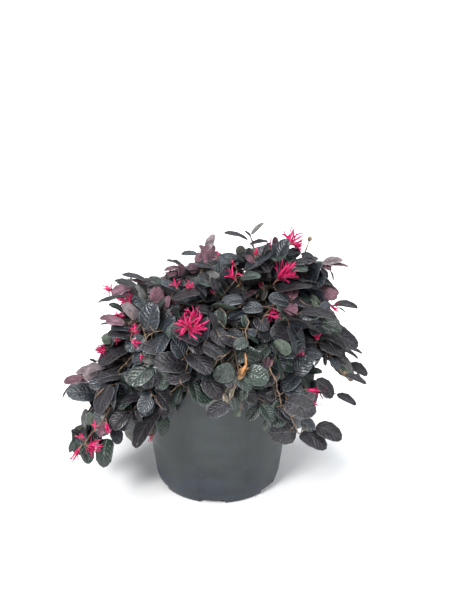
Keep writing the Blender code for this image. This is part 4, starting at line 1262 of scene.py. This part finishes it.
# Tufts that show in front: heart in the picture, number of flowers, ribbons in millimetres, the way
# the tuft opens in the picture, clockwise from up, the angle of its cone, how much it faces the
# viewer, and the ribbons' breadth in tenths of a millimetre.
FRONT_TUFTS = (
    (188, 329, 7, 21, 50, 80, 0.60, 20),
    (187, 328, 2, 17, -90, 50, 0.5, 18),
    (193, 327, 2, 19, 85, 36, 0.35, 18),
    (193, 321, 5, 19, 0, 50, 0.35, 9),
    (276, 281, 8, 30, 50, 48, 0.30, 23),
    (290, 245, 5, 24, 30, 66, 0.10, 24),
    (271, 250, 1, 15, -8, 12, 0.1, 20),
    (291, 244, 2, 15, 105, 14, 0.15, 24),
    (257, 255, 2, 8, 0, 60, 0.3, 13),
    (235, 266, 1, 8, -40, 25, 0.3, 13),
    (237, 282, 2, 21, -32, 12, 0.2, 17),
    (177, 289, 2, 12, 0, 30, 0.3, 13),
    (188, 289, 3, 12, 10, 55, 0.3, 12),
    (112, 291, 5, 15, -25, 70, 0.2, 13),
    (130, 301, 5, 11, -20, 85, 0.4, 13),
    (120, 318, 5, 11, -20, 70, 0.4, 12),
    (107, 350, 5, 15, -85, 50, 0.2, 13),
    (134, 332, 5, 10, 0, 80, 0.5, 9),
    (131, 340, 2, 13, 125, 8, 0.3, 14),
    (174, 314, 1, 7, -60, 30, 0.4, 15),
    (267, 315, 4, 15, 92, 45, 0.3, 12),
    (317, 340, 3, 9, 0, 22, 0.4, 10),
    (331, 305, 4, 13, 150, 45, 0.3, 11),
    (304, 353, 1, 10, -95, 12, 0.3, 13),
    (304, 389, 2, 25, 104, 5, -0.35, 24),
    (306, 396, 2, 23, 138, 10, 0.2, 20),
    (139, 280, 1, 8, -75, 30, 0.3, 20),
    (87, 446, 5, 19, 80, 50, 0.35, 18),
    (81, 446, 2, 21, 212, 20, 0.2, 13),
    (95, 431, 1, 14, 5, 10, 0.3, 14),
    (106, 421, 2, 15, 170, 16, 0.3, 15),
    (80, 437, 2, 6, 0, 70, 0.3, 12),
    (151, 441, 1, 9, -5, 14, 0.2, 16),
    (218, 256, 1, 7, 10, 30, 0.3, 11),
    (262, 288, 1, 9, -50, 18, 0.3, 13),
    (115, 341, 3, 7, 60, 45, 0.3, 11),
    (214, 294, 1, 7, -30, 25, 0.3, 12),
    (141, 354, 1, 8, 165, 20, 0.3, 14),
)
petals = Heap()
sepals = Heap()
front_faces = BVHTree.FromPolygons(room.points, room.faces)
for across, down, flowers, millimetres, turn, spread, facing, tenths in FRONT_TUFTS:
    length = millimetres * 0.001
    clock = math.radians(turn)
    way = camera_turn @ Vector((math.sin(clock), math.cos(clock), 0))
    axis = (way * (1 - facing) + toward * facing).normalized()
    spot = front_spot(across, down, 0.010)[0]
    depth = (spot - EYE).dot(-toward)
    for ahead in (0.0, 0.4, 0.8):
        line = (EYE + sight(across, down) * depth + way * length * ahead - EYE).normalized()
        hit = front_faces.ray_cast(EYE, line)
        if hit[0] is not None:
            depth = min(depth, (hit[0] - EYE).dot(-toward))
    heart = EYE + sight(across, down) * (depth - 0.003)
    spot = carrier(heart)
    gap = (heart - spot).length
    bow = spot.lerp(heart, 0.55) - axis * 0.10 * gap
    lay_tube(sepals, [spot, spot.lerp(bow, 0.5), bow, heart], [0.0009, 0.0008, 0.0008, 0.0009], 5)
    lay_tuft(petals, sepals, heart, axis, flowers, length, spread, tenths * 0.0001)
    middle = heart + axis * length * 0.45
    across, down, away = seen([middle])
    shields.append((across[0], down[0], length * 0.62 * FOCUS / away[0], away[0] + length * 0.35))

# Tufts round the sides and the back: bearing, reach, height, flowers, ribbons in millimetres, climb.
OTHER_TUFTS = (
    (122, 0.165, 0.230, 6, 20, 10),
    (150, 0.140, 0.285, 3, 18, 40),
    (176, 0.172, 0.215, 6, 20, 10),
    (196, 0.118, 0.322, 3, 18, 50),
    (214, 0.188, 0.170, 2, 16, -20),
    (236, 0.170, 0.245, 5, 20, 20),
    (246, 0.198, 0.165, 2, 16, -20),
    (140, 0.192, 0.150, 2, 16, -30),
    (108, 0.190, 0.200, 2, 15, 0),
    (256, 0.120, 0.312, 2, 14, 50),
    (98, 0.192, 0.190, 2, 12, 10),
    (268, 0.205, 0.195, 2, 12, 10),
    (164, 0.186, 0.160, 3, 18, -20),
    (226, 0.150, 0.290, 2, 14, 40),
)
side_shields = []
for bearing, out, height, flowers, millimetres, climb in OTHER_TUFTS:
    length = millimetres * 0.001
    axis = heading(bearing, climb)
    heart = at(bearing, out, height)
    spot, mark, gap = wood_tree.find(heart)
    if gap > 0.016:
        heart = spot.lerp(heart, 0.016 / gap)
    while not in_outline([heart, heart + (axis + Vector((0, 0, 0.6))) * length]):
        heart = heart.lerp(CROWN_HEART, 0.04)
    spot = carrier(heart)
    bow = spot.lerp(heart, 0.55) + Vector((0, 0, 0.10 * (heart - spot).length))
    lay_tube(sepals, [spot, spot.lerp(bow, 0.5), bow, heart], [0.0009, 0.0008, 0.0008, 0.0009], 5)
    lay_tuft(petals, sepals, heart, axis, flowers, length, 60, 0.0019)
    side_shields.append((heart, axis, length * 0.6))

# Woody seed capsules of the last season, on the ends of bare twigs.
CAPSULES = ((309, 241), (344, 376), (350, 381), (136, 376))
stalks = Heap()
for across, down in CAPSULES:
    place, mark, gap = front_spot(across, down, 0.004)
    way = camera_turn @ Vector((0.3, 0.9, 0.3))
    husk = [wood_points[mark], place, place + way * 0.0014, place + way * 0.0040, place + way * 0.0062]
    lay_tube(stalks, husk, [0.0009, 0.0011, 0.0031, 0.0035, 0.0018], 7)

crimson = Finish("crimson_petal", 0.5)
flush = crimson.noise(0.010, 2)
crimson.colour(crimson.ramp(flush, (0.32, (0.25, 0.007, 0.050)), (0.5, (0.50, 0.013, 0.100)), (0.7, (0.60, 0.050, 0.165))))
crimson.shader.inputs["Specular IOR Level"].default_value = 0.25
crimson.bump(crimson.noise(0.0015, 2), 0.3, 0.0003)
sepal_skin = Finish("sepal_skin", 0.75)
fuzz = sepal_skin.noise(0.003, 3)
sepal_skin.colour(sepal_skin.ramp(fuzz, (0.3, (0.12, 0.035, 0.035)), (0.7, (0.28, 0.14, 0.09))))
sepal_skin.bump(fuzz, 0.4, 0.0003)
petal_piece = petals.make("blossom_ribbons", [crimson], 50)
sepal_piece = sepals.make("blossom_sepals", [sepal_skin])
masses = ["foliage_" + name for name in SHOOTS]
for piece in (petal_piece, sepal_piece):
    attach(piece, "root")
    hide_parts(*masses)


# A torn stub of a shoot, orange inside, with its end up.
torn = Heap()
stub = front_spot(246, 368, 0.010)
depth = (stub[0] - EYE).dot(-toward) - 0.006
hit = front_faces.ray_cast(EYE, sight(246, 360).normalized())
if hit[0] is not None:
    depth = min(depth, (hit[0] - EYE).dot(-toward) - 0.003)
for down in (355, 360, 365, 370):
    shields.append((245, down, 5, depth))
stub_points = [EYE + sight(across, down) * depth for across, down in ((241, 374), (243, 370), (246, 365), (246, 359), (245, 353))]
lay_tube(torn, [wood_points[stub[1]]] + stub_points, [0.0010, 0.0017, 0.0020, 0.0014, 0.0012, 0.0011], 9, 0.12)
torn_wood = Finish("torn_wood", 0.75)
strands = torn_wood.noise(0.0025, 3, (1, 1, 0.3))
torn_wood.colour(torn_wood.ramp(strands, (0.35, (0.22, 0.085, 0.028)), (0.65, (0.52, 0.25, 0.09))))
torn_wood.bump(strands, 0.6, 0.0005)
torn_piece = torn.make("torn_stub", [torn_wood])
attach(torn_piece, "root")
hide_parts(*masses)


# Leaves of the rest of the crown
# They stand along every twig, one at its tip and the others left and right in turn, wherever there
# is room, and none hides what shows in front.
shield = np.array(shields)
TINTS = {name: (0.10, 0.08, 0.03) for name in SHOOTS}
TINTS.update({
    "front": (0.62, 0.0, 0.0),
    "low_front": (0.55, 0.0, 0.0),
    "front_left": (0.34, 0.0, 0.0),
    "front_right": (0.40, 0.03, 0.0),
    "shoulder_front": (0.36, 0.01, 0.0),
    "left_front": (0.22, 0.0, 0.0),
    "top_left": (0.04, 0.22, 0.30),
    "shoulder_left": (0.06, 0.20, 0.18),
    "top_front": (0.10, 0.02, 0.0),
    "low_left": (0.14, 0.0, 0.0),
    "left": (0.10, 0.02, 0.0),
    "shoulder_front_left": (0.14, 0.05, 0.0),
    "top_right": (0.10, 0.03, 0.0),
    "top_far_right": (0.10, 0.03, 0.02),
    "right": (0.10, 0.02, 0.0),
    "right_front": (0.10, 0.02, 0.0),
    "shoulder_right": (0.10, 0.03, 0.0),
    "shoulder_front_right": (0.16, 0.02, 0.0),
    "low_right": (0.14, 0.03, 0.0),
    "top_back": (0.06, 0.24, 0.20),
    "shoulder_back": (0.10, 0.20, 0.14),
})
spray_kind = {}


def kind_of(twig):
    """One colour for a spray, newer at its tip, with a stray leaf of another now and then."""
    key = (twig.mass, twig.spray)
    if key not in spray_kind:
        green, wine, mauve = TINTS[twig.mass]
        draw = rng.random()
        if draw < mauve * (0.4 + 1.2 * twig.new):
            spray_kind[key] = "mauve"
        elif draw < mauve + wine * (0.6 + 0.8 * twig.new):
            spray_kind[key] = "wine"
        elif draw > 1 - green * (1.3 - 0.6 * twig.new):
            spray_kind[key] = "green"
        else:
            spray_kind[key] = rng.choice(("black", "black", "charcoal"))
    kind = spray_kind[key]
    if rng.random() < 0.22:
        older = {"mauve": "wine", "wine": "black", "black": "charcoal", "charcoal": "black", "green": "charcoal"}
        kind = older[kind]
    return kind


def hides(proxy):
    """Whether a leaf would hide a leaf or tuft that shows in front, or a tuft at the side."""
    across, down, away = seen(proxy)
    close = (across[:, None] - shield[:, 0]) ** 2 + (down[:, None] - shield[:, 1]) ** 2 < shield[:, 2] ** 2
    if (close & (away[:, None] < shield[:, 3])).any():
        return True
    for heart, axis, radius in side_shields:
        if (proxy[4] - heart).length_squared < 0.0036:
            for point in proxy:
                ahead = (point - heart).dot(axis)
                if ahead > -0.004 and (point - heart - axis * ahead).length < radius:
                    return True
    return False


slots = []
for number, twig in enumerate(twigs):
    if twig.rank == 3:
        continue
    length = sum((after - before).length for before, after in zip(twig.points, twig.points[1:]))
    place, along = along_points(twig.points, length)
    slots.append((number, place, along, 0, 1.0, kind_of(twig)))
    count = max(1, round(length / LEAF_SPACING))
    hand = rng.choice((-1, 1))
    for leaf in range(count):
        share = (leaf + 0.6) / (count + 0.2)
        place, along = along_points(twig.points, length * share)
        slots.append((number, place, along, hand, share, kind_of(twig)))
        hand = -hand
slots.sort(key=lambda slot: abs(slot[3]))
leaf_count = 0
for sizes in ((1.0, 1.0, 0.94, 0.94), (0.86, 0.86, 0.80), (0.74, 0.68, 0.62)):
    waiting = []
    for slot in slots:
        number, place, along, hand, share, kind = slot
        twig = twigs[number]
        for scale in sizes:
            face = face_out(place, along)
            side = along.cross(face) * hand
            angle = math.radians(LEAF_ANGLE + rng.uniform(-18, 18))
            reach = along * math.cos(angle) + side * math.sin(angle)
            if hand == 0:
                reach = along + face * rng.uniform(-0.4, 0.4) + along.cross(face) * rng.uniform(-0.4, 0.4)
            reach += face * rng.uniform(-0.25, 0.30)
            reach.normalize()
            blade = face + along.cross(face) * rng.uniform(-0.6, 0.6) + along * rng.uniform(-0.45, 0.5)
            blade = (blade - reach * blade.dot(reach)).normalized()
            size = scale * rng.uniform(0.84, 1.12) * (1.05 - 0.20 * twig.new)
            if kind == "mauve":
                size *= 0.80
            length = LEAF_LENGTH * size
            width = LEAF_WIDTH * size * rng.uniform(0.84, 1.06) * (1.0 if place.z < 0.27 else 0.88)
            curl = rng.uniform(-0.1, 0.75)
            root = place + reach * (0.0020 + 0.0016 * size)
            proxy = blade_proxy(root, reach, blade, length, width, curl)
            if fits(twig.mass, proxy) and not hides(proxy) and room.free(proxy):
                upward = -blade if rng.random() < 0.04 and place.y > -0.04 else blade
                fold, wave = rng.uniform(0.05, 0.34), rng.uniform(0.02, 0.11)
                add_leaf(kind, blade_points(root, reach, upward, length, width, curl, fold, wave))
                petioles.append((place, root + reach * 0.001))
                held[number] = max(held[number], share)
                leaf_count += 1
                break
        else:
            waiting.append(slot)
    slots = waiting
print("leaves", leaf_count, "left out", len(slots), "twigs", len(twigs))

# The wood of the twigs, each as far as its last leaf, blossom or side twig.
for number in reversed(range(len(twigs))):
    twig = twigs[number]
    if held[number] == 0 and twig.rank != 3:
        continue
    keep = 1.0 if twig.rank == 3 else min(1.0, held[number] + 0.03)
    if twig.parent is not None:
        held[twig.parent] = max(held[twig.parent], twig.share + 0.02)
    count = max(2, math.ceil((len(twig.points) - 1) * keep) + 1)
    lay_tube(stalks, twig.points[:count], twig.radii[:count], 5 if twig.rank in (1, 2) else 7)
for root, tip in petioles:
    thick = 0.0005 if (tip - root).length < 0.010 else 0.0007
    lay_tube(stalks, [root, tip], [thick, thick * 0.8], 4)

young_bark = Finish("young_bark", 0.7)
blotches = young_bark.noise(0.006, 3)
young_bark.colour(young_bark.ramp(blotches, (0.3, (0.062, 0.038, 0.026)), (0.5, (0.15, 0.092, 0.055)), (0.72, (0.27, 0.205, 0.135))))
young_bark.roughness(young_bark.ramp(blotches, (0.3, 0.55), (0.7, 0.8)))
young_bark.bump(young_bark.noise(0.0012, 3), 0.5, 0.0003)
stalk_piece = stalks.make("shoots_and_twigs", [young_bark])
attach(stalk_piece, "root")
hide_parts(*masses)

def vein_group():
    """Relief and marks of a leaf from its UV places: side veins sunk between puckers, a midrib and a rim.
    The marks are pale lines along the side veins, the midrib and the rim: partly the leaf's own paler veins
    and margin, partly painted highlight. Crinkle is a noise that sets the veins out of true.
    """
    group = bpy.data.node_groups.new("leaf_veins", "ShaderNodeTree")
    group.interface.new_socket("Place", in_out="INPUT", socket_type="NodeSocketVector")
    group.interface.new_socket("Crinkle", in_out="INPUT", socket_type="NodeSocketFloat")
    group.interface.new_socket("Height", in_out="OUTPUT", socket_type="NodeSocketFloat")
    group.interface.new_socket("Lines", in_out="OUTPUT", socket_type="NodeSocketFloat")
    nodes, links = group.nodes, group.links
    enter, leave = nodes.new("NodeGroupInput"), nodes.new("NodeGroupOutput")

    def math_node(operation, *values):
        made = nodes.new("ShaderNodeMath")
        made.operation = operation
        for socket, value in zip(made.inputs, values):
            if isinstance(value, (int, float)):
                socket.default_value = value
            else:
                links.new(value, socket)
        return made.outputs[0]

    split = nodes.new("ShaderNodeSeparateXYZ")
    links.new(enter.outputs["Place"], split.inputs[0])
    crinkle = enter.outputs["Crinkle"]
    across = math_node("ABSOLUTE", math_node("MULTIPLY_ADD", split.outputs["Y"], 2.0, -1.0))
    slant = math_node("MULTIPLY_ADD", across, -0.30, split.outputs["X"])
    slant = math_node("MULTIPLY_ADD", crinkle, 0.16, slant)
    phase = math_node("FRACT", math_node("MULTIPLY_ADD", slant, 6.2, 2.0))
    pucker = math_node("POWER", math_node("SINE", math_node("MULTIPLY", phase, math.pi)), 0.6)
    middle = math_node("MINIMUM", math_node("MULTIPLY", across, 7.0), 1.0)
    edge_fade = math_node("SUBTRACT", 1.0, math_node("POWER", across, 5.0))
    ridges = math_node("MULTIPLY", math_node("MULTIPLY", pucker, middle), edge_fade)
    links.new(math_node("MULTIPLY_ADD", crinkle, 1.1, math_node("MULTIPLY", ridges, 0.4)), leave.inputs["Height"])
    # Pale lines along the side veins, the midrib and the rim: partly the leaf's own paler veins and margin, partly
    # painted highlight.
    from_vein = math_node("MULTIPLY", math_node("MINIMUM", phase, math_node("SUBTRACT", 1.0, phase)), 12.0)
    from_rib = math_node("MULTIPLY", across, 16.0)
    from_rim = math_node("MULTIPLY", math_node("SUBTRACT", 1.0, across), 11.0)
    rim = math_node("SUBTRACT", 1.0, math_node("MINIMUM", from_rim, 1.0))
    lines = math_node("SUBTRACT", 1.0, math_node("MINIMUM", math_node("MINIMUM", from_vein, from_rib), 1.0))
    lines = math_node("MAXIMUM", math_node("MULTIPLY", lines, 0.35), rim)
    links.new(lines, leave.inputs["Lines"])
    return group


veins = vein_group()


def leaf_finish(name, colour, pale, roughness, gloss, relief):
    """Leathery leaf skin of a colour, lighter or darker by leaf, with a painted sheen in blotches, and pale veins and
    rim that are partly the leaf's own and partly painted highlight.
    """
    made = Finish(name, roughness)
    spots = made.add("ShaderNodeUVMap", uv_map="blade")
    tone = made.add("ShaderNodeAttribute", attribute_name="tone")
    ribs = made.add("ShaderNodeGroup", node_tree=veins)
    made.links.new(spots.outputs["UV"], ribs.inputs["Place"])
    made.links.new(made.noise(0.0055, 2), ribs.inputs["Crinkle"])
    deep = tuple(value * 0.75 for value in colour)
    bright = tuple(value * 1.15 for value in colour)
    leaf_tone = made.ramp(tone.outputs["Fac"], (0.0, deep), (0.6, colour), (1.0, bright))
    # Blotches where the skin is lighter in colour and glossier at once: the lighter colour is a painted sheen that
    # follows the glossy patches.
    blotches = made.noise(0.009, 4)
    cloud = made.ramp(blotches, (0.35, 0.52), (0.65, 1.40))
    grain = made.ramp(made.noise(0.0017, 2), (0.35, 0.72), (0.65, 1.32))
    skin = made.mix(1.0, made.mix(1.0, leaf_tone, cloud, "MULTIPLY"), grain, "MULTIPLY")
    # The pale colour goes on along these lines: partly the leaf's own paler veins and margin, partly painted highlight.
    lines = made.add("ShaderNodeMath", operation="MULTIPLY")
    lines.inputs[1].default_value = 0.85
    made.links.new(ribs.outputs["Lines"], lines.inputs[0])
    made.colour(made.mix(lines.outputs[0], skin, pale))
    made.roughness(made.ramp(blotches, (0.35, min(1, roughness * 1.35)), (0.65, roughness * 0.75)))
    made.shader.inputs["Specular IOR Level"].default_value = gloss
    made.bump(ribs.outputs["Height"], relief, 0.0016)
    return made


# Each kind's upper skin: colour, pale colour of its vein and rim lines (partly painted highlight), roughness and gloss.
UPPER = {
    "black": ((0.013, 0.018, 0.024), (0.13, 0.146, 0.162), 0.35, 0.62),
    "charcoal": ((0.0168, 0.0152, 0.0185), (0.115, 0.11, 0.118), 0.38, 0.38),
    "green": ((0.0155, 0.0265, 0.0205), (0.11, 0.143, 0.123), 0.34, 0.56),
    "wine": ((0.115, 0.052, 0.070), (0.21, 0.120, 0.145), 0.42, 0.35),
    "mauve": ((0.125, 0.060, 0.081), (0.27, 0.17, 0.20), 0.45, 0.35),
    "dry": ((0.33, 0.28, 0.21), (0.47, 0.40, 0.32), 0.80, 0.20),
}
LOWER = {
    "black": ((0.060, 0.056, 0.060), (0.11, 0.105, 0.10)),
    "charcoal": ((0.105, 0.105, 0.100), (0.18, 0.18, 0.16)),
    "green": ((0.110, 0.135, 0.108), (0.19, 0.22, 0.18)),
    "wine": ((0.13, 0.075, 0.090), (0.20, 0.12, 0.13)),
    "mauve": ((0.150, 0.120, 0.128), (0.28, 0.23, 0.24)),
    "dry": ((0.22, 0.125, 0.060), (0.32, 0.20, 0.11)),
}
for kind in KINDS:
    under, under_pale = LOWER[kind]
    skins = [leaf_finish("leaf_" + kind, *UPPER[kind], 0.80), leaf_finish("under_" + kind, under, under_pale, 0.7, 0.2, 0.4)]
    piece = leaf_heaps[kind].make("leaves_" + kind, skins, 22)
    print(kind, len(leaf_heaps[kind].faces))
    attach(piece, "root")
    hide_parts(*masses)


# Studio
# A plain pale floor that runs up into a plain pale wall, under broad soft lights.
bpy.ops.object.select_all(action="DESELECT")
bpy.ops.mesh.primitive_plane_add(size=8)
floor = bpy.context.object
floor.name = "floor"
bpy.ops.object.mode_set(mode="EDIT")
bpy.ops.mesh.select_mode(type="EDGE")
bpy.ops.mesh.select_all(action="DESELECT")
bpy.ops.object.mode_set(mode="OBJECT")
for side in floor.data.edges:
    side.select = all(floor.data.vertices[corner].co.y > 3.9 for corner in side.vertices)
bpy.ops.object.mode_set(mode="EDIT")
bpy.ops.mesh.extrude_region_move(TRANSFORM_OT_translate={"value": (0, 0, 1.15)})
bpy.ops.object.mode_set(mode="OBJECT")
paper = Finish("studio_paper", 0.9)
paper.shader.inputs["Base Color"].default_value = (0.94, 0.94, 0.94, 1)
floor.data.materials.append(paper.material)

for name, place, target, size, power, spread, colour in (
    ("key", (-0.8, -1.2, 1.2), (0, 0, 0.2), 0.5, 34, 180, (1.0, 0.99, 0.98)),
    ("fill", (1.1, -1.2, 0.9), (0, 0, 0.2), 1.2, 17, 180, (0.96, 0.98, 1.0)),
    ("top", (0.1, -0.1, 1.7), (0, 0, 0.2), 1.2, 23.5, 180, (0.94, 0.97, 1.0)),
    ("wall", (0, 1.6, 1.4), (0, 4, 0.9), 2.0, 75, 180, (1.0, 1.0, 1.0)),
    ("floor_light", (0, 0.6, 2.3), (0, 1.0, 0), 0.4, 6, 54, (1.0, 1.0, 1.0)),
):
    bpy.ops.object.light_add(type="AREA", location=place)
    lamp = bpy.context.object
    lamp.name = name
    lamp.data.shape = "SQUARE"
    lamp.data.size = size
    lamp.data.energy = power
    lamp.data.spread = math.radians(spread)
    lamp.data.color = colour
    lamp.rotation_euler = (Vector(target) - Vector(place)).to_track_quat("-Z", "Y").to_euler()
world = bpy.data.worlds.new("studio_air")
world.use_nodes = True
world.node_tree.nodes["Background"].inputs["Color"].default_value = (0.93, 0.96, 1.0, 1)
world.node_tree.nodes["Background"].inputs["Strength"].default_value = 0.45
scene.world = world
scene.view_settings.view_transform = "Standard"
